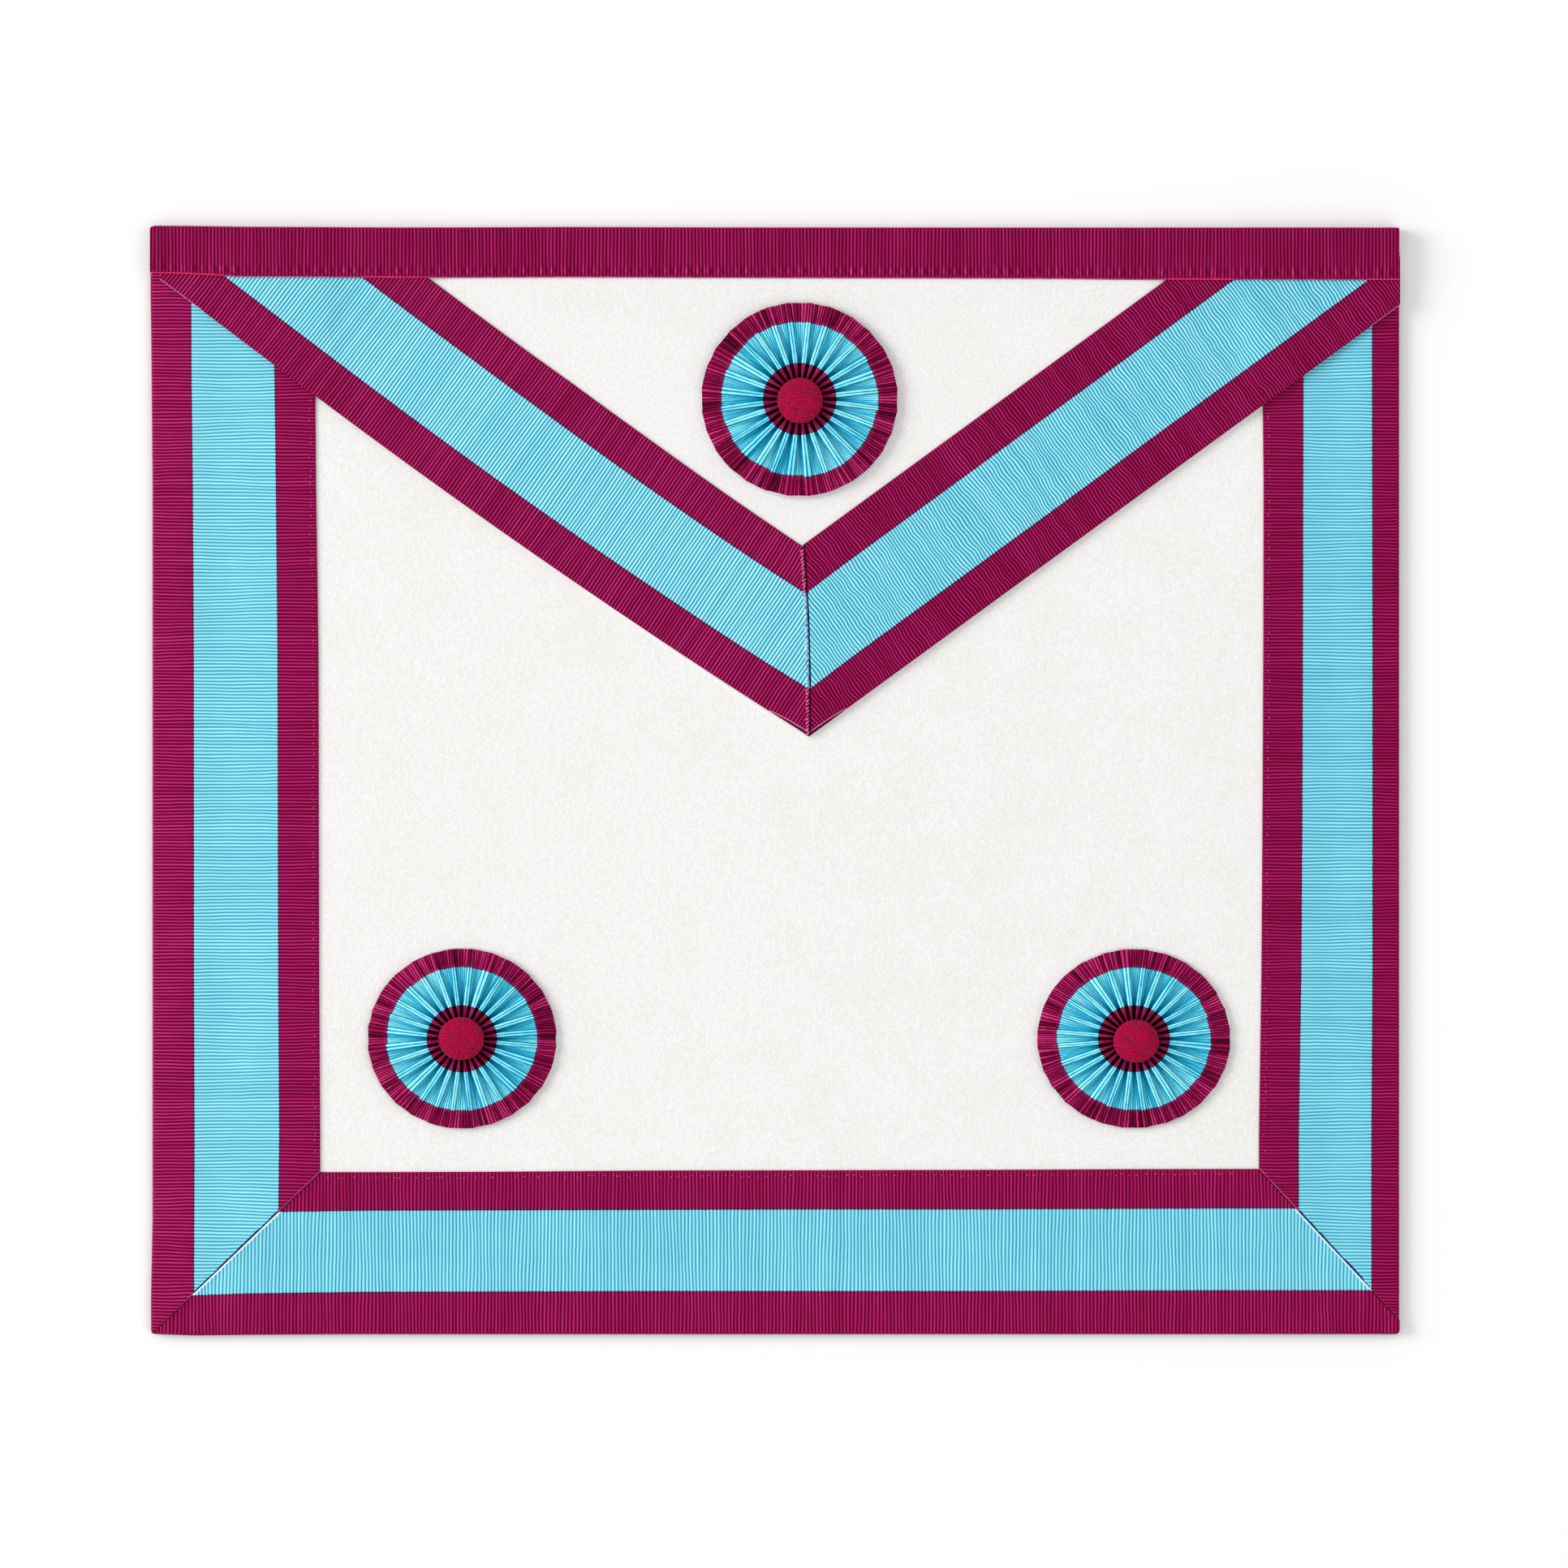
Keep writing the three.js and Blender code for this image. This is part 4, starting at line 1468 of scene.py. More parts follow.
        # Painted highlight and shadow lines along each mitre, on the lifted and the sunk edge, which are also
        # raised and lowered
        for line, side, lifted in mitres:
            distance = side * line.offset(points[:, 0], points[:, 1])
            if lifted:
                dye_and_shading[:, 1] = np.minimum(dye_and_shading[:, 1], distance - 0.2 * is_blue)
            else:
                near = distance * np.where(is_blue, 0.62, 1.0) + 0.22 * (across < self.outer_stripe)
                dye_and_shading[:, 2] = np.minimum(dye_and_shading[:, 2], near)
            shift = bumps(distance, self.LIFTED_EDGE if lifted else self.SUNK_EDGE)
            points[:, 2] += np.where(is_top, shift, 0.0)
        paint(mesh, "dye_and_shading", dye_and_shading)
        set_points(mesh, self.bulge(round_corners(points, lay, self.corner)))
        piece = new_object(ribbon.name, mesh)
        declare(piece, material, Slot.STRIPED, ribbon.name.replace("border", "border_ribbon"))
        return piece

    def bulge(self, points: Array) -> Array:
        """Lets the left and bottom edges stray a little from straight.

        Args:
            points: places in millimetres.

        Returns:
            The moved places.
        """
        moved, run = points.copy(), self.bulge_run
        x, y = points[:, 0], points[:, 1]
        moved[:, 0] -= read(self.LEFT_EDGE, y) * smooth(1.3 - (x - self.lay.left) / run)
        moved[:, 1] -= read(self.FOOT_EDGE, x) * smooth(1.3 - (y - self.lay.foot) / run)
        return moved


@dataclass
class Flap:
    """The triangular flap: its leather and the V of ribbon on it."""

    lay: Lay
    depth: float = 147.0
    tip_shift: float = 10.7
    left_inset: float = 4.8
    left_sag: float = 1.0
    right_overrun: float = 12.2
    bow: float = 3.4
    left_flare: float = 0.9
    ribbon_width: float = 50.8
    ribbon_length: float = 270.0
    leather_inset: float = 0.5
    left_trim: float = 2.8
    seam_bow: float = 0.6
    left_insets: Sequence[float] = (-0.4, -0.4, -0.2, 0.1, 0.35, 0.5, 0.5, 0.5, 0.5, 0.5, 0.5)
    tip_reach: float = 12.0
    tip_end: float = 40.0
    cells: tuple[int, int] = (104, 42)
    leather_flat: Point = (395.2, 154.4)
    leather_area: float = 0.0335

    # Distances from the seam, and how far in from the tip's edges the ribbon is folded there
    TIP_FOLD = ((0.0, 1.1), (3.0, 1.05), (7.0, 0.9), (10.0, 0.6), (12.5, 0.15))
    # Places along each ribbon and its width there, then where its blue starts and ends
    LEFT_WIDTH = ((10.0, 50.25), (30.0, 50.2), (63.0, 50.65), (95.0, 51.35), (127.0, 51.9), (250.0, 52.2))
    LEFT_BLUE = (
        ((30.0, 12.7), (127.0, 12.85), (190.0, 13.1), (235.0, 13.2), (254.0, 13.6)),
        (
            *((10.0, 37.7), (30.0, 37.75), (63.0, 38.0), (95.0, 38.35)),
            *((127.0, 38.9), (159.0, 39.25), (250.0, 39.4)),
        ),
    )
    RIGHT_WIDTH = ((0.0, 50.8),)
    RIGHT_BLUE = (((0.0, 12.6),), ((0.0, 37.85),))
    # Along the V's inner corner: first and last place tried, and how many
    APEX_SEARCH = (0.0, 120.0, 4801)
    # For the left (-1) and right (1) side of the seam: the bumps of its edge, where its painted shadow line
    # starts and how fast it fades, where the painted highlight along the ribbon's outer edge ends, and its
    # area in square metres
    CREASES = (0.2, 0.45, 0.9)
    SEAM_EDGE = {-1: ((0.15, 0.6, 0.5), (-0.25, 0.0, 0.2)), 1: ((-0.25, 0.2, 0.3),)}
    SEAM_LINE = {-1: (-0.35, 1.0), 1: (0.42, 1.3)}
    HIGHLIGHT_END = {-1: -184.0, 1: 191.0}
    AREA = {-1: 0.0118, 1: 0.0112}

    @property
    def tip(self) -> Point:
        """The flap's lowest point."""
        return self.tip_shift, self.lay.band - self.depth

    @property
    def left_path(self) -> BowedPath:
        """The left ribbon's way up from the tip."""
        end = (self.lay.left + self.left_inset, self.lay.band - self.left_sag)
        return BowedPath(self.tip, end, self.bow, self.left_flare)

    @property
    def right_path(self) -> StraightPath:
        """The right ribbon's way up from the tip.

        Returns:
            Its path.
        """
        dx, dy = self.lay.right + self.right_overrun - self.tip[0], self.lay.band - self.tip[1]
        run = math.hypot(dx, dy)
        return StraightPath(self.tip, (dx / run, dy / run), (-dy / run, dx / run))

    @property
    def apex(self) -> Point:
        """The V's inner corner.

        Returns:
            Its place.
        """
        along = np.linspace(*self.APEX_SEARCH)
        left_x, left_y = self.left_path.plan(along, np.full(along.shape, self.ribbon_width))
        right = self.right_path
        in_x, in_y = right.plan(0.0, self.ribbon_width)
        side = (left_x - in_x) * right.inward[0] + (left_y - in_y) * right.inward[1]
        nearest = int(np.argmin(np.abs(side)))
        return float(left_x[nearest]), float(left_y[nearest])

    @property
    def seam(self) -> Line:
        """The seam down the middle of the V."""
        return Line.through(self.tip, self.apex)

    def build(self, finishes: Finishes) -> list[bpy.types.Object]:
        """Makes the flap's leather and ribbons.

        Args:
            finishes: the apron's materials.

        Returns:
            The pieces.
        """
        return [self.build_leather(finishes.leather), *self.build_ribbons(finishes.flap)]

    def outline_cuts(self) -> list[tuple[Point, Point]]:
        """Finds the straight cuts round the leather.

        Returns:
            A point and an outward normal for each.
        """
        cuts: list[tuple[Point, Point]] = [
            ((self.lay.right, 0.0), (1.0, 0.0)),
            ((self.lay.left + self.left_trim, 0.0), (-1.0, 0.0)),
            ((0.0, self.lay.tuck), (0.0, 1.0)),
        ]
        right = self.right_path
        cuts.append((right.plan(0.0, self.leather_inset), (-right.inward[0], -right.inward[1])))
        chord = math.hypot(self.lay.left + self.left_inset - self.tip[0], self.lay.band - self.tip[1])
        steps = len(self.left_insets) - 1
        for step in range(steps):
            ends = np.array([step, step + 1]) * chord / steps
            x, y = self.left_path.plan(ends, np.array(self.left_insets[step : step + 2]))
            line = Line.through((x[0], y[0]), (x[1], y[1]))
            cuts.append(((float(x[0]), float(y[0])), (-line.a, -line.b)))
        return cuts

    def build_leather(self, material: bpy.types.Material) -> bpy.types.Object:
        """Makes the flap's leather from a grid cut to its outline.

        Args:
            material: its finish.

        Returns:
            The piece.
        """
        lay = self.lay
        low, high = self.tip[1] - 2.0, lay.tuck + 2.0
        size = (lay.right - lay.left, high - low)
        piece = leather_grid("flap_sheet", size, self.cells, (0.0, (low + high) / 2))
        bpy.ops.object.mode_set(mode="EDIT")
        for (x, y), (a, b) in self.outline_cuts():
            bpy.ops.mesh.select_all(action="SELECT")
            bpy.ops.mesh.bisect(plane_co=(x * MM, y * MM, 0.0), plane_no=(a, b, 0.0), clear_outer=True)
        bpy.ops.mesh.select_all(action="SELECT")
        bpy.ops.mesh.remove_doubles(threshold=0.00002)
        bpy.ops.object.mode_set(mode="OBJECT")
        points = points_of(piece.data)
        points[:, 2] = lay.flap_high(points[:, 0], points[:, 1])
        set_points(piece.data, points)
        thicken(piece, lay.leather)
        declare(piece, material, Slot.LEATHER, "flap_leather")
        return piece

    def build_ribbons(self, material: bpy.types.Material) -> list[bpy.types.Object]:
        """Makes the two ribbons of the V, joined down the middle.

        Args:
            material: their finish.

        Returns:
            The pieces.
        """
        lay = self.lay
        left = Ribbon(
            "flap_left",
            self.left_path,
            start=-60.0,
            end=262.0,
            width=self.LEFT_WIDTH,
            high=lay.flap_ribbon_high,
            blue=self.LEFT_BLUE,
            seed=21,
            pitch=1.103,
        )
        right = Ribbon(
            "flap_right",
            self.right_path,
            start=-60.0,
            end=330.0,
            width=self.RIGHT_WIDTH,
            high=lay.flap_ribbon_high,
            blue=self.RIGHT_BLUE,
            seed=27,
            pitch=1.06,
            drift=LIVELY_DRIFT,
            shade=(0.9, 0.9),
            columns_apart=1.6,
        )
        left_side = Line(lay.left + self.left_trim, 0.0, 1.0, 0.0)
        right_side = Line(lay.right, 0.0, -1.0, 0.0)
        return [self.finish(left, -1, left_side, material), self.finish(right, 1, right_side, material)]

    def finish(self, ribbon: Ribbon, side: int, trim: Line, material: bpy.types.Material) -> bpy.types.Object:
        """Cuts a ribbon of the V to its outline, shapes its seam and tip and dresses it.

        Args:
            ribbon: the ribbon.
            side: -1 for the one left of the seam, 1 for the one right of it.
            trim: the line that it ends at beside the border.
            material: its finish.

        Returns:
            The piece.
        """
        lay, mesh = self.lay, ribbon.build()
        cut(mesh, Line(0.0, lay.tuck, 0.0, 1.0), -1, 0.0)
        cut(mesh, trim, 1, 0.0)
        cut(mesh, self.seam, side, 0.0, self.CREASES)
        points = points_of(mesh)
        distance = side * self.seam.offset(points[:, 0], points[:, 1])
        is_top = points[:, 2] > lay.flap_ribbon_high(points[:, 0], points[:, 1]) - 1.3 * FACE_DEPTH
        dye_and_shading, inward = painted(mesh, "dye_and_shading"), painted(mesh, "weave")[:, 1]
        fold = read(self.TIP_FOLD, distance)
        # The strip folded under at the tip: lowered, and darkened as painted shade
        under = smooth((fold - inward) / 0.3) * (distance < self.tip_reach)
        # A painted shadow line beside the seam
        line_from, line_rate = self.SEAM_LINE[side]
        dye_and_shading[:, 2] = (distance - line_from) * line_rate
        # Painted highlight along the tip's fold line, and along the outer edge at the far end beside the
        # border
        tip_line = (inward - fold) * 2.4 + np.maximum(distance - self.tip_reach, 0.0)
        beyond = np.maximum(side * (self.HIGHLIGHT_END[side] - points[:, 0]), 0.0)
        dye_and_shading[:, 1] = np.where(distance < self.tip_end, tip_line, inward * 1.5 + beyond * 0.6)
        paint(mesh, "dye_and_shading", dye_and_shading)
        paint(mesh, "tone", (1 - 0.55 * under) * ribbon.shade[0])
        shift = bumps(distance, self.SEAM_EDGE[side]) - 0.2 * under
        points[:, 2] += np.where(is_top, shift, 0.0)
        points[:, 0] += self.seam_lean(points[:, 1]) * bell(distance, 9.0)
        set_points(mesh, points)
        piece = new_object(ribbon.name, mesh)
        declare(piece, material, Slot.STRIPED, ribbon.name.replace("flap", "flap_ribbon"))
        return piece

    def seam_lean(self, y: Array) -> Array:
        """How far the seam bows to the right at each place."""
        share = np.clip((y - self.tip[1]) / (self.apex[1] - self.tip[1]), 0.0, 1.0)
        return self.seam_bow * 4 * share * (1 - share)


@dataclass
class Waistband:
    """The crimson ribbon folded over the apron's top edge."""

    lay: Lay
    stitch_in: float = 2.3
    stitch_pitch: float = 3.3
    corner: float = 1.2
    overrun: float = 3.0
    tone: float = 0.93
    left_shift: float = 0.3
    flat: Point = (38.0, 400.0)

    # Places along the band, with its width there and how far its edges lie below straight
    WIDTH = (
        *((-200.0, 15.5), (-190.0, 15.7), (-172.0, 16.3), (-120.0, 16.45), (-66.0, 16.4)),
        *((-14.0, 16.45), (64.0, 16.6), (90.0, 16.7), (116.0, 17.0), (200.0, 17.15)),
    )
    DROP = (
        *((-200.0, -0.3), (-186.0, -0.2), (-170.0, 0.05), (-118.0, 0.25)),
        *((-66.0, 0.05), (-14.0, 0.2), (200.0, 0.3)),
    )
    # Stretches over the ribbons, where the band's foot has a bright painted highlight line
    STRONG = ((-201.0, -176.0), (-132.5, -111.7), (126.0, 147.3), (189.2, 201.0))
    # How far beside its dimple a stitch's bright fuzz lies
    FUZZ_SHIFT = (1.7, 0.3)

    def build(self, material: bpy.types.Material) -> bpy.types.Object:
        """Makes the band with its sewn row of dimples.

        Args:
            material: its finish.

        Returns:
            The piece.
        """
        lay = self.lay
        ribbon = Ribbon(
            "waistband_ribbon",
            StraightPath((0.0, lay.top), (1.0, 0.0), (0.0, -1.0)),
            start=lay.left - self.overrun,
            end=lay.right + self.overrun,
            width=self.WIDTH,
            high=lay.band_high,
            seed=31,
            pitch=1.13,
            hem=lay.top - lay.band - 1.6,
            drift=EVEN_DRIFT,
            shade=(self.tone, self.tone),
        )
        mesh = ribbon.build()
        for side, way in ((lay.left, 1.0), (lay.right, -1.0)):
            cut(mesh, Line(side, 0.0, way, 0.0), 1, 0.0, creases=(0.4,))
        points = points_of(mesh)
        along, across, _ = painted(mesh, "weave").T
        is_top = points[:, 2] > lay.band_high(points[:, 0], points[:, 1]) - FACE_DEPTH
        spots = self.dimples(along, across) * is_top
        points[:, 2] -= 0.28 * spots
        points[:, 1] -= read(self.DROP, along)
        fuzz = self.dimples(along + self.FUZZ_SHIFT[0], across + self.FUZZ_SHIFT[1]) * is_top
        # The dimples are darkened, partly for the thread sunk in them and partly as painted shade
        paint(mesh, "tone", self.tone * (1 - 0.6 * spots + 0.7 * fuzz))
        # A painted highlight line along the band's foot: bright over the ribbons, fainter elsewhere
        dye_and_shading = painted(mesh, "dye_and_shading")
        edge = read(self.WIDTH, along) - across
        strong = np.any([(points[:, 0] > low) & (points[:, 0] < high) for low, high in self.STRONG], axis=0)
        dye_and_shading[:, 1] = np.where(is_top & strong, np.maximum(edge - 0.1, 0.0), FAR)
        dye_and_shading[:, 2] = np.where(is_top & ~strong, np.maximum(edge, 0.0) * 1.3, FAR)
        paint(mesh, "dye_and_shading", dye_and_shading)
        points = round_corners(points, lay, self.corner)
        points[:, 0] -= self.left_shift
        set_points(mesh, points)
        piece = new_object(ribbon.name, mesh)
        declare(piece, material, Slot.CRIMSON, "waistband")
        return piece

    def dimples(self, along: Array, across: Array) -> Array:
        """How deep the sewing pulls the band in.

        Args:
            along: places along the band.
            across: places down it.

        Returns:
            The depth at each place, 0 to 1.
        """
        rng = np.random.default_rng(44)
        count = int((self.lay.right - self.lay.left) / self.stitch_pitch)
        places = self.lay.left + self.stitch_pitch * (np.arange(count) + 0.5)
        places = places + rng.uniform(-0.7, 0.7, count)
        depths = rng.uniform(0.45, 1.0, count)
        rows = rng.uniform(-0.3, 0.3, count)
        nearest = np.clip(np.searchsorted(places, along), 1, count - 1)
        nearest = nearest - (along - places[nearest - 1] < places[nearest] - along)
        row = read(self.WIDTH, along) - self.stitch_in + rows[nearest]
        return depths[nearest] * bell(along - places[nearest], 0.6) * bell(across - row, 0.75)


@dataclass(frozen=True)
class Chance:
    """What sets one pleat apart from the others."""

    skew: float
    edge: float
    shift: float
    light: float
    glow: Array
    rim_shading: Array

    @classmethod
    def draw(cls, rng: np.random.Generator, valleys: int) -> "Chance":
        """Draws one pleat's chances.

        Args:
            rng: the rosette's random numbers.
            valleys: the ribs in one valley.

        Returns:
            Its lean and edge, the shift of its stripes' edges, its light, and each rib's glow and painted rim
            shading.
        """
        skew, edge = rng.uniform(-1.0, 1.0, 2) * (0.3, 0.12)
        shift, light = rng.uniform(-0.22, 0.22), rng.uniform(0.86, 1.08)
        glow = rng.uniform(-0.28, 0.3, valleys)
        rim_shading = rng.uniform(-0.5, 0.38, valleys + 2)
        return cls(skew, edge, shift, light, glow, rim_shading)


@dataclass
class Rosette:
    """A pleated ribbon ring on a backing disc, with a covered button in its middle."""

    name: str
    centre: Point
    seat: float
    wide: float
    deep: float
    seed: int
    backing_turn: float
    button_shift: Point
    button_deep: float
    radius: float = 31.2
    pleats: int = 28
    inner: float = 5.3
    on_backing: float = 0.72
    disc_radius: float = 30.7
    disc_thick: float = 0.6
    disc_shift: float = 1.0
    sheet_thick: float = 0.8
    rim_thick: float = 0.7
    blue_from: float = 11.65
    blue_to: float = 24.3
    weave_radius: float = 26.0
    ring_flat: Point = (25.9, 196.0)

    # Places outwards from the middle, and what a pleat's panel or valley is like there
    TABLES = {
        "panel wide": (
            *((5.3, 0.6), (7.3, 0.74), (9.5, 0.98), (11.0, 1.3)),
            *((11.9, 1.6), (14.0, 1.65), (31.2, 1.75)),
        ),
        "panel high": (
            *((5.3, 2.9), (7.3, 3.2), (11.2, 3.5), (18.0, 3.4)),
            *((24.8, 2.6), (29.0, 1.7), (31.2, 1.05)),
        ),
        "panel tone": (
            *((5.3, 0.7), (9.0, 0.88), (11.3, 0.95), (11.9, 1.15)),
            *((24.6, 1.12), (25.4, 0.84), (31.2, 0.86)),
        ),
        "valley high": (
            *((5.3, 1.0), (7.3, 1.0), (11.2, 1.2), (18.0, 1.5)),
            *((24.8, 1.7), (29.0, 1.3), (31.2, 0.8)),
        ),
        # The valleys' tone holds painted shade, near black in the inner crimson ring's deep gaps
        "valley tone": (
            *((5.3, 0.2), (11.3, 0.27), (12.0, 0.66), (15.0, 0.95)),
            *((20.0, 1.0), (24.6, 1.05), (25.4, 0.76), (31.2, 0.82)),
        ),
        "valley ribs": ((5.3, 0.0), (12.0, 0.2), (18.0, 0.5), (24.8, 0.75), (25.6, 1.0), (31.2, 1.0)),
    }
    VALLEY_COUNT = 5
    # How much wider a panel may grow towards the rim
    SPLAYS = (0.0, 0.0, 0.15, 0.5, 1.0)
    RADII = (
        *(5.3, 7.0, 9.0, 10.6, 11.8, 13.4, 15.2, 17.2, 19.2),
        *(21.2, 23.2, 24.6, 26.0, 27.8, 29.4, 30.5, 31.05, 31.2),
    )
    # The radii that the underside has corners at, from the rim inwards
    UNDERSIDE = [17, 14, 12, 8, 4, 1, 0]
    # Radius and height of each ring of the disc and of the button with its stem
    DISC = ((30.5, 0.0), (30.7, 0.12), (30.7, 0.45), (30.4, 0.6), (20.0, 0.6), (10.0, 0.6))
    COVER = (
        *((4.6, 0.0), (4.6, 3.2), (5.6, 3.25), (6.6, 3.45), (7.1, 3.9), (7.3, 4.6), (7.22, 5.2)),
        *((6.9, 5.65), (6.3, 6.1), (5.4, 6.5), (4.2, 6.8), (2.8, 7.0), (1.4, 7.08)),
    )

    def __post_init__(self) -> None:
        """Reads the tables at the radii."""
        self.radii = np.array(self.RADII)
        self.outward = (self.radii - self.inner) / (self.radius - self.inner)
        self.rim = smooth(self.radii - self.blue_to)
        self.table = {key: read(rows, self.radii) for key, rows in self.TABLES.items()}

    def build(self, finishes: Finishes) -> list[bpy.types.Object]:
        """Makes the rosette's backing, pleats and button.

        Args:
            finishes: the apron's materials.

        Returns:
            The pieces.
        """
        return [
            self.build_backing(finishes.backing),
            self.build_pleats(finishes.pleats),
            self.build_button(finishes.button),
        ]

    def section(self) -> tuple[Array, Array, Array]:
        """One pleat's samples round the ring.

        Returns:
            For each sample its place in the pleat's panel (-1 to 1) or valley (1 to 3), whether it
            is on the panel, and how far up its rib it is.
        """
        panel = [(-1 + 2 * (rib + share) / 2, 1.0, up) for rib in range(2) for share, up in RIB_ROWS]
        panel.append((1.0, 1.0, 0.0))
        count = self.VALLEY_COUNT
        valley = [(1 + 2 * (rib + share) / count, 0.0, up) for rib in range(count) for share, up in RIB_ROWS]
        valley[0] = (1.05, 0.0, 0.0)
        valley.append((2.95, 0.0, 0.0))
        place, raised, up = zip(*(panel + valley))
        return np.array(place), np.array(raised), np.array(up)

    def panel(self, chance: Chance, spot: float, rib: float) -> tuple[Array, Array, Array, float]:
        """A sample on a raised panel.

        Args:
            chance: the pleat's chances.
            spot: its place across the panel, -1 to 1.
            rib: how far up its rib it is.

        Returns:
            Its height, rib level and tone at the radii, and how far its rim end is cut back.
        """
        table = self.table
        high = table["panel high"] * (1 - 0.1 * spot * spot) - 0.2 * (1 - rib) * smooth(self.radii / 9 - 0.6)
        level = 0.45 + 0.55 * rib + 0 * self.radii
        # Painted shading of each panel rib at the rim
        tone = table["panel tone"] * (1 + 0.6 * chance.rim_shading[0 if spot < 0 else 1] * self.rim)
        return high, level, tone, 0.12 + 0.12 * abs(spot)

    def valley(
        self, chance: Chance, spot: float, rib: float, fine: Array
    ) -> tuple[Array, Array, Array, float]:
        """A sample in a valley between two panels.

        Args:
            chance: the pleat's chances.
            spot: its place across the valley, 1 to 3.
            rib: how far up its rib it is.
            fine: the cloth's fine unevenness there.

        Returns:
            The same as a panel's sample.
        """
        table, outward, count = self.table, self.outward, self.VALLEY_COUNT
        inside = max(1 - abs(spot - 2 - chance.skew), 0.0)
        ribs = table["valley ribs"]
        high = table["valley high"] - 0.3 * inside * (1 - outward) - 0.2 * (1 - rib) * ribs
        level = 0.8 + (rib * rib - 0.5) * 0.55 * ribs
        mine = min(int((spot - 1) / 2 * count), count - 1)
        # Painted shade: darker in the middle of the inner valleys and on the side its pleat leans from, plus
        # painted shading of each rib at the rim
        shadow = 0.35 * (1 - outward) * (1 - abs(spot - 2)) + 0.2 * chance.skew * (2 - spot)
        own = chance.glow[mine] * outward + chance.rim_shading[mine + 2] * self.rim
        tone = table["valley tone"] * (1.08 - shadow + own + fine * 0.6)
        return high, level, tone, 0.24 + chance.edge + 0.1 * inside

    def samples(self) -> list[Array]:
        """Lays every pleat's samples round the ring.

        Returns:
            The angle, reach, height, tone and rib level of each sample at each radius, and how far
            each one's outer stripe strays.
        """
        rng, radii = np.random.default_rng(self.seed), self.radii
        section = list(zip(*self.section()))
        pitch = 2 * math.pi / self.pleats
        splays = rng.choice(self.SPLAYS, self.pleats)[:, None] * np.clip((radii - 11.2) / 13.6, 0.0, 1.4)
        wide = self.table["panel wide"] * rng.uniform(0.9, 1.1, (self.pleats, 1)) + splays
        half = wide / (2 * math.pi * radii / self.pleats) / 2
        turns, leans = rng.uniform(-0.07, 0.07, (2, self.pleats, 1))
        outward = self.outward
        heart = np.arange(self.pleats)[:, None] + 0.5 + turns * outward + leans * outward * outward
        rows = []
        for pleat in range(self.pleats):
            after = (pleat + 1) % self.pleats
            near = heart[pleat] + half[pleat]
            far = heart[after] - half[after] + (self.pleats if after == 0 else 0)
            chance = Chance.draw(rng, self.VALLEY_COUNT)
            for spot, is_panel, rib in section:
                fine = 0.1 * np.sin(radii * 2.1 + pleat * 1.7 + spot * 5)
                if is_panel:
                    turned = heart[pleat] + spot * half[pleat]
                    high, level, tone, notch = self.panel(chance, spot, rib)
                else:
                    turned = near + (far - near) * (spot - 1) / 2
                    high, level, tone, notch = self.valley(chance, spot, rib, fine)
                angle = turned * pitch + fine * 0.45 / np.maximum(radii, 8.0)
                reach = radii - notch * smooth((radii - 27.0) / 4.2)
                crease = -chance.shift - 0.3 * (rib - 0.5) - (0.24 if is_panel else 0.1)
                rows.append((angle, reach, high, tone * chance.light, level, crease))
        return [np.array(rows_of) for rows_of in zip(*rows)]

    def build_pleats(self, material: bpy.types.Material) -> bpy.types.Object:
        """Makes the pleated ring as one closed thin sheet.

        Args:
            material: its finish.

        Returns:
            The piece.
        """
        angle, reach, high, tone, rib, crease = self.samples()
        under = self.UNDERSIDE
        low = np.maximum(high[:, under] - self.sheet_thick, 0.0)
        low[:, 0] = np.maximum(high[:, -1] - self.rim_thick, 0.0)
        pairs = [(angle, angle[:, under]), (reach, reach[:, under] - 0.05), (high, low)]
        # The underside's tone is darkened as painted shade
        pairs += [(tone, tone[:, under] * 0.8), (rib, rib[:, under])]
        angle, reach, high, tone, rib = (np.concatenate(pair, axis=1) for pair in pairs)
        x = self.centre[0] + self.wide * reach * np.cos(angle)
        y = self.centre[1] + self.deep * reach * np.sin(angle)
        points = np.stack([x, y, self.seat + self.on_backing + high], axis=-1).reshape(-1, 3)
        count, ring = angle.shape
        i, j = np.meshgrid(np.arange(count), np.arange(ring), indexing="ij")
        after, beside = (i + 1) % count, (j + 1) % ring
        corners = [i * ring + j, after * ring + j, after * ring + beside, i * ring + beside]
        mesh = mesh_of(f"rosette_{self.name}_ring", points, np.stack(corners, -1).reshape(-1, 4))
        bare = np.concatenate([self.radii, self.radii[under]]) * np.ones((count, 1))
        blue = np.minimum(bare - self.blue_from, self.blue_to - bare - crease[:, None] * (bare > 18))
        weave = np.stack([angle * self.weave_radius, bare, rib], axis=-1)
        paint(mesh, "weave", weave.reshape(-1, 3))
        far = np.full(bare.shape, FAR)
        paint(mesh, "dye_and_shading", np.stack([blue, far, far], axis=-1).reshape(-1, 3))
        paint(mesh, "tone", tone.ravel())
        piece = new_object(mesh.name, mesh)
        declare(piece, material, Slot.STRIPED, f"rosette_{self.name}_pleats")
        return piece

    def build_backing(self, material: bpy.types.Material) -> bpy.types.Object:
        """Makes the backing disc.

        Args:
            material: its finish.

        Returns:
            The piece.
        """
        angle, shift = math.radians(self.backing_turn), self.disc_shift
        centre = (self.centre[0] + shift * math.cos(angle), self.centre[1] + shift * math.sin(angle))
        stretch = (self.wide, self.deep)
        piece = stacked(f"rosette_{self.name}_disc", self.DISC, 72, centre, self.seat, stretch)
        declare(piece, material, Slot.BACKING, f"rosette_{self.name}_backing")
        return piece

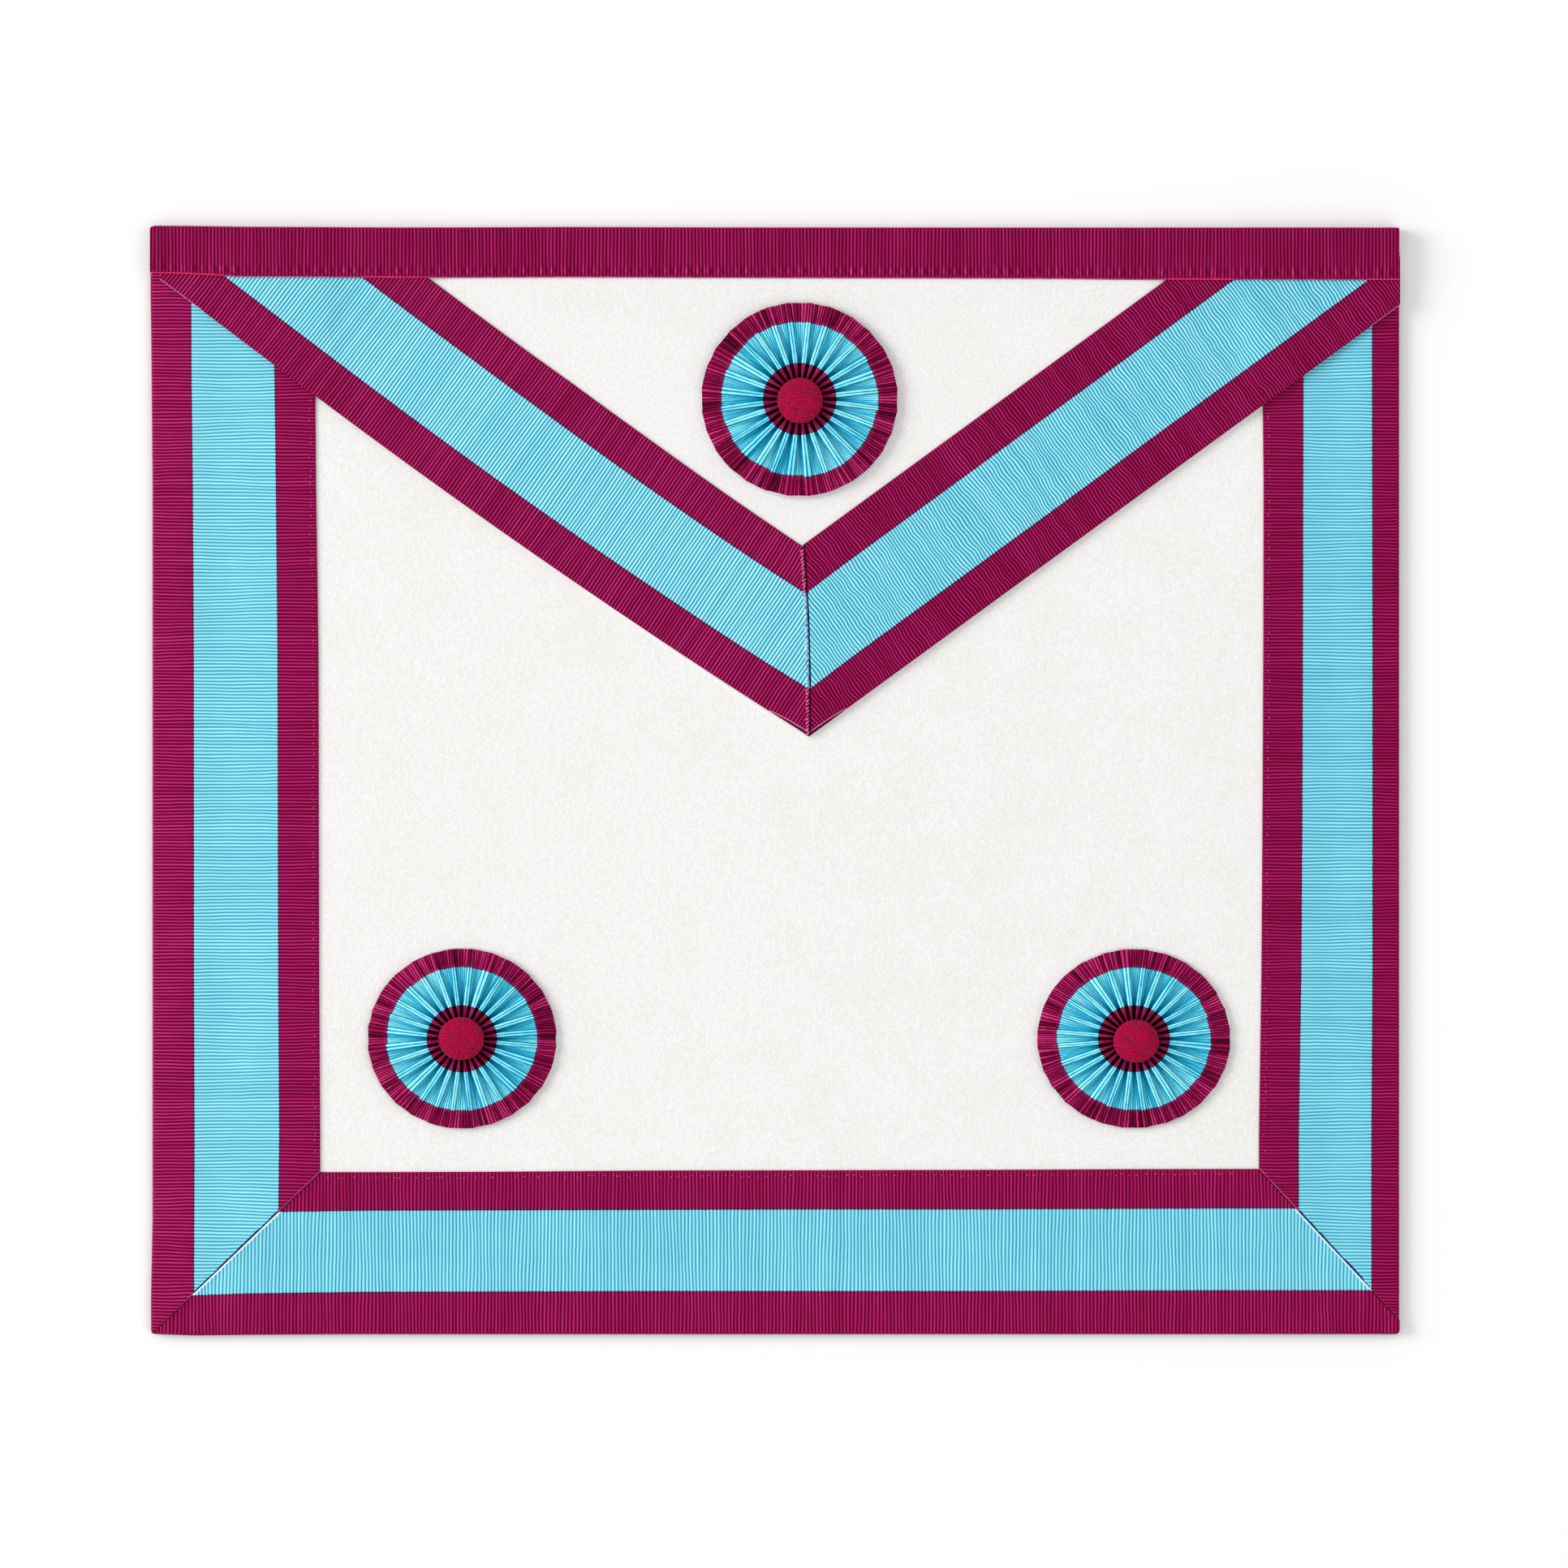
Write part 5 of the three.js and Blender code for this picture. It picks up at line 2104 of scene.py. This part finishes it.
    def build_button(self, material: bpy.types.Material) -> bpy.types.Object:
        """Makes the covered button with its stem.

        Args:
            material: its finish.

        Returns:
            The piece.
        """
        base = self.seat + self.on_backing + self.disc_thick
        centre = (self.centre[0] + self.button_shift[0], self.centre[1] + self.button_shift[1])
        stretch = (1.0, self.button_deep)
        piece = stacked(f"rosette_{self.name}_cover", self.COVER, 56, centre, base, stretch)
        declare(piece, material, Slot.BUTTON, f"rosette_{self.name}_button")
        return piece


def stacked(
    name: str,
    profile: Sequence[Point],
    sides: int,
    centre: Point,
    base: float,
    stretch: Point,
) -> bpy.types.Object:
    """Makes a round closed solid by drawing a filled circle up through rings.

    Args:
        name: the piece's name.
        profile: radius and height of each ring from the foot to the last one before the middle.
        sides: corners of each ring.
        centre: the axis's place in the plan.
        base: the height of the profile's zero.
        stretch: how much wider and deeper than round it is.

    Returns:
        The piece, its place in its mesh.
    """
    deselect()
    start = (centre[0] * MM, centre[1] * MM, (base + profile[0][1]) * MM)
    bpy.ops.mesh.primitive_circle_add(vertices=sides, radius=profile[0][0] * MM, fill_type="TRIFAN")
    piece = bpy.context.active_object
    piece.name = piece.data.name = name
    bpy.ops.object.mode_set(mode="EDIT")
    bpy.ops.mesh.select_all(action="SELECT")
    bpy.ops.mesh.region_to_loop()
    for (near, low), (far, high) in zip(profile, profile[1:]):
        bpy.ops.mesh.extrude_edges_move(TRANSFORM_OT_translate={"value": (0.0, 0.0, (high - low) * MM)})
        ratio = far / near
        bpy.ops.transform.resize(value=(ratio, ratio, 1.0), center_override=(0.0, 0.0, 0.0))
    bpy.ops.mesh.edge_face_add()
    bpy.ops.mesh.poke()
    bpy.ops.mesh.select_all(action="SELECT")
    bpy.ops.mesh.normals_make_consistent(inside=False)
    bpy.ops.transform.resize(value=(stretch[0], stretch[1], 1.0), center_override=(0.0, 0.0, 0.0))
    bpy.ops.transform.translate(value=start)
    bpy.ops.object.mode_set(mode="OBJECT")
    bpy.ops.object.shade_smooth_by_angle(angle=math.radians(55))
    return piece


@dataclass
class Stitches:
    """The stitches that show: down the flap's seam and along the ribbons' inner edges."""

    lay: Lay
    flap: Flap
    borders: Borders
    seam_pitch: float = 1.17
    seam_left: float = 0.55
    seam_slant: float = 48.0
    edge_pitch: float = 2.6
    edge_in: float = 1.8

    # Length and thickness of a stitch
    SEAM_SIZE = (1.5, 0.56)
    EDGE_SIZE = (0.75, 0.42)

    def bean(self, length: float, thick: float) -> tuple[Array, Array]:
        """Models one stitch and reads its mesh.

        Args:
            length: its length, along X.
            thick: its thickness.

        Returns:
            Its corners in millimetres and its faces' corner numbers, triangles with the last repeated.
        """
        deselect()
        bpy.ops.mesh.primitive_uv_sphere_add(segments=6, ring_count=4, radius=1.0)
        piece = bpy.context.active_object
        bpy.ops.object.mode_set(mode="EDIT")
        bpy.ops.mesh.select_all(action="SELECT")
        quarter = math.pi / 2
        bpy.ops.transform.rotate(value=quarter, orient_axis="Y", center_override=(0.0, 0.0, 0.0))
        size = (length / 2 * MM, thick / 2 * MM, thick / 2 * MM)
        bpy.ops.transform.resize(value=size, center_override=(0.0, 0.0, 0.0))
        bpy.ops.mesh.quads_convert_to_tris()
        bpy.ops.object.mode_set(mode="OBJECT")
        points = points_of(piece.data)
        faces = np.array([list(face.vertices) for face in piece.data.polygons])
        mesh = piece.data
        bpy.data.objects.remove(piece)
        bpy.data.meshes.remove(mesh)
        return points, faces

    def sew(
        self,
        name: str,
        shape: tuple[Array, Array],
        places: Array,
        turns: Array,
        material: bpy.types.Material,
    ) -> bpy.types.Object:
        """Copies a stitch to each place as one piece.

        Args:
            name: the piece's name.
            shape: the stitch's corners and triangles.
            places: where each one goes.
            turns: how each one is turned in the plan, in radians.
            material: its finish.

        Returns:
            The piece.
        """
        points, faces = shape
        cosine, sine = np.cos(turns)[:, None], np.sin(turns)[:, None]
        x = places[:, 0:1] + cosine * points[:, 0] - sine * points[:, 1]
        y = places[:, 1:2] + sine * points[:, 0] + cosine * points[:, 1]
        z = places[:, 2:3] + points[:, 2] * np.ones_like(cosine)
        every = np.stack([x, y, z], axis=-1).reshape(-1, 3)
        numbers = (np.arange(len(places))[:, None, None] * len(points) + faces).reshape(-1, 3)
        mesh = bpy.data.meshes.new(name)
        mesh.from_pydata((every * MM).tolist(), [], numbers.tolist())
        mesh.shade_smooth()
        piece = new_object(name, mesh)
        return declare(piece, material, Slot.STRIPED)

    def build(self, finishes: Finishes) -> list[bpy.types.Object]:
        """Sews every row.

        Args:
            finishes: the apron's materials.

        Returns:
            The pieces.
        """
        return [*self.seam_rows(finishes), self.edge_row(finishes)]

    def seam_rows(self, finishes: Finishes) -> list[bpy.types.Object]:
        """The slanting stitches down the flap's seam, pale over blue and pink over crimson.

        Args:
            finishes: the apron's materials.

        Returns:
            The pieces.
        """
        flap = self.flap
        (x0, y0), (x1, y1) = flap.tip, flap.apex
        run = math.hypot(x1 - x0, y1 - y0)
        count = int((run - 1.6) / self.seam_pitch)
        share = (1.0 + self.seam_pitch * np.arange(count)) / run
        rng = np.random.default_rng(71)
        y = y0 + (y1 - y0) * share + rng.uniform(-0.1, 0.1, count)
        x = x0 + (x1 - x0) * share - self.seam_left + flap.seam_lean(y) + rng.uniform(-0.1, 0.1, count)
        z = self.lay.flap_ribbon_high(x, y) + 0.2
        turns = math.radians(self.seam_slant) + rng.uniform(-0.22, 0.22, count)
        places = np.stack([x, y, z], axis=-1)
        across = share * flap.ribbon_width
        near, far = (edge[0][1] for edge in flap.RIGHT_BLUE)
        blue = (across > near) & (across < far)
        shape = self.bean(*self.SEAM_SIZE)
        rows = (("pale", blue, finishes.pale_thread), ("pink", ~blue, finishes.pink_thread))
        return [
            self.sew(f"seam_stitches_{name}", shape, places[mine], turns[mine], thread)
            for name, mine, thread in rows
        ]

    def edge_row(self, finishes: Finishes) -> bpy.types.Object:
        """The small stitches just in from the borders' inner edges.

        Args:
            finishes: the apron's materials.

        Returns:
            The piece.
        """
        lay, borders, inset = self.lay, self.borders, self.edge_in
        rng = np.random.default_rng(83)
        rows = []
        for side, width in ((1, borders.LEFT_WIDTH), (-1, borders.RIGHT_WIDTH)):
            y = np.arange(lay.foot + borders.bottom + 4.0, lay.band - 2.0, self.edge_pitch)
            y = y + rng.uniform(-0.8, 0.8, len(y))
            base = lay.left if side > 0 else lay.right
            x = base + side * (read(width, y) - inset)
            rows.append(np.stack([x, y, np.full(len(y), math.pi / 2)], -1))
        start = lay.left + borders.inner_left_foot + 2.0
        x = np.arange(start, lay.right - borders.inner_right_foot - 1.0, self.edge_pitch)
        x = x + rng.uniform(-0.8, 0.8, len(x))
        rows.append(np.stack([x, lay.foot + read(borders.FOOT_WIDTH, x) - inset, np.zeros(len(x))], -1))
        every = np.concatenate(rows)
        every = every[~self.under_flap(every[:, 0], every[:, 1])]
        every[:, :2] += rng.uniform(-0.35, 0.35, (len(every), 2))
        z = lay.border_high(every[:, 0], every[:, 1]) + rng.uniform(-0.1, 0.1, len(every))
        places = np.stack([every[:, 0], every[:, 1], z], -1)
        turns = every[:, 2] + rng.uniform(-0.35, 0.35, len(every))
        return self.sew("border_stitches", self.bean(*self.EDGE_SIZE), places, turns, finishes.dim_thread)

    def under_flap(self, x: Array, y: Array) -> Array:
        """Finds the places under the flap.

        Args:
            x: places across, in millimetres.
            y: places up, in millimetres.

        Returns:
            Whether each one is under it.
        """
        inward, tip = self.flap.right_path.inward, self.flap.tip
        right_of = (x - tip[0]) * inward[0] + (y - tip[1]) * inward[1] > -1.0
        end = (self.lay.left + self.flap.left_inset, self.lay.band)
        left_of = Line.through(tip, end).offset(x, y) > -5.0
        return right_of & left_of


@dataclass
class Studio:
    """The pale floor, the soft light from the left and the camera above."""

    frame_width: float = 502.5
    surface: float = 3.3
    lens: float = 200.0
    sensor: float = 36.0
    aim: Point = (2.7, -1.2)

    def build(self) -> None:
        """Sets the stage."""
        self.add_floor()
        self.add_lights()
        self.add_camera()

    def add_floor(self) -> None:
        """A wide white floor at the apron's underside."""
        deselect()
        bpy.ops.mesh.primitive_plane_add(size=8.0)
        floor = bpy.context.active_object
        floor.name = "floor"
        material, graph, shader = new_material("floor_paper")
        place = graph.node("ShaderNodeTexCoord").outputs["Object"]
        paper = graph.mix(graph.noise(place, 3.0), srgb(253, 253, 253), srgb(254, 254, 254))
        graph.feed(shader, {"Base Color": paper, "Roughness": 0.9})
        finish_with(floor, material)

    def add_lights(self) -> None:
        """An even sky and a large soft light from the left."""
        world = bpy.data.worlds.new("studio_sky")
        world.use_nodes = True
        sky = world.node_tree.nodes["Background"]
        sky.inputs["Color"].default_value = (1.0, 1.0, 1.0, 1.0)
        sky.inputs["Strength"].default_value = 0.66
        bpy.context.scene.world = world
        for name, place, size, power in (
            ("key", (-3.5, 0.8, 2.1), 2.4, 103.0),
            ("fill", (1.4, -0.6, 2.6), 2.4, 12.0),
        ):
            lamp = bpy.data.lights.new(name, "AREA")
            lamp.shape, lamp.size, lamp.energy = "DISK", size, power
            light = bpy.data.objects.new(name, lamp)
            light.location = place
            light.rotation_euler = (-Vector(place)).to_track_quat("-Z", "Y").to_euler()
            bpy.context.scene.collection.objects.link(light)

    def add_camera(self) -> None:
        """A long lens straight above the apron."""
        lens = bpy.data.cameras.new("camera")
        lens.lens, lens.sensor_width = self.lens, self.sensor
        lens.clip_start, lens.clip_end = 0.1, 20.0
        camera = bpy.data.objects.new("camera", lens)
        distance = self.frame_width * self.lens / self.sensor + self.surface
        camera.location = (self.aim[0] * MM, self.aim[1] * MM, distance * MM)
        bpy.context.scene.collection.objects.link(camera)
        bpy.context.scene.camera = camera
        bpy.context.scene.view_settings.view_transform = "Standard"


def middle(node: str) -> Point:
    """A node's middle in the plan, in millimetres."""
    low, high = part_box(node)
    return (low.x + high.x) / 2 / MM, (low.y + high.y) / 2 / MM


def main() -> None:
    """Builds the apron's sub-assemblies in order."""
    logging.basicConfig(level=logging.INFO, format="%(name)s %(message)s")
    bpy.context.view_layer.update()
    Studio().build()
    lay = Lay.from_frame()
    finishes = Finishes()
    LeatherBody(lay).build(finishes.leather)
    borders = Borders(lay)
    borders.build(finishes.striped)
    flap = Flap(lay)
    flap.build(finishes)
    Waistband(lay).build(finishes.band)
    for name, wide, deep, seed, turn, shift, button_deep in (
        ("top", 1.015, 1.0, 101, -90.0, (0.1, -0.6), 1.0),
        ("left", 0.976, 0.93, 102, 50.0, (-0.1, 0.1), 0.945),
        ("right", 0.998, 0.925, 103, 90.0, (0.6, -0.7), 0.945),
    ):
        centre = middle(f"rosette_{name}_button")
        seat = lay.seat(lay.flap_high if name == "top" else lay.leather_high, centre)
        Rosette(name, centre, seat, wide, deep, seed, turn, shift, button_deep).build(finishes)
    Stitches(lay, flap, borders).build(finishes)
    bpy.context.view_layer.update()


if __name__ == "__main__":
    main()
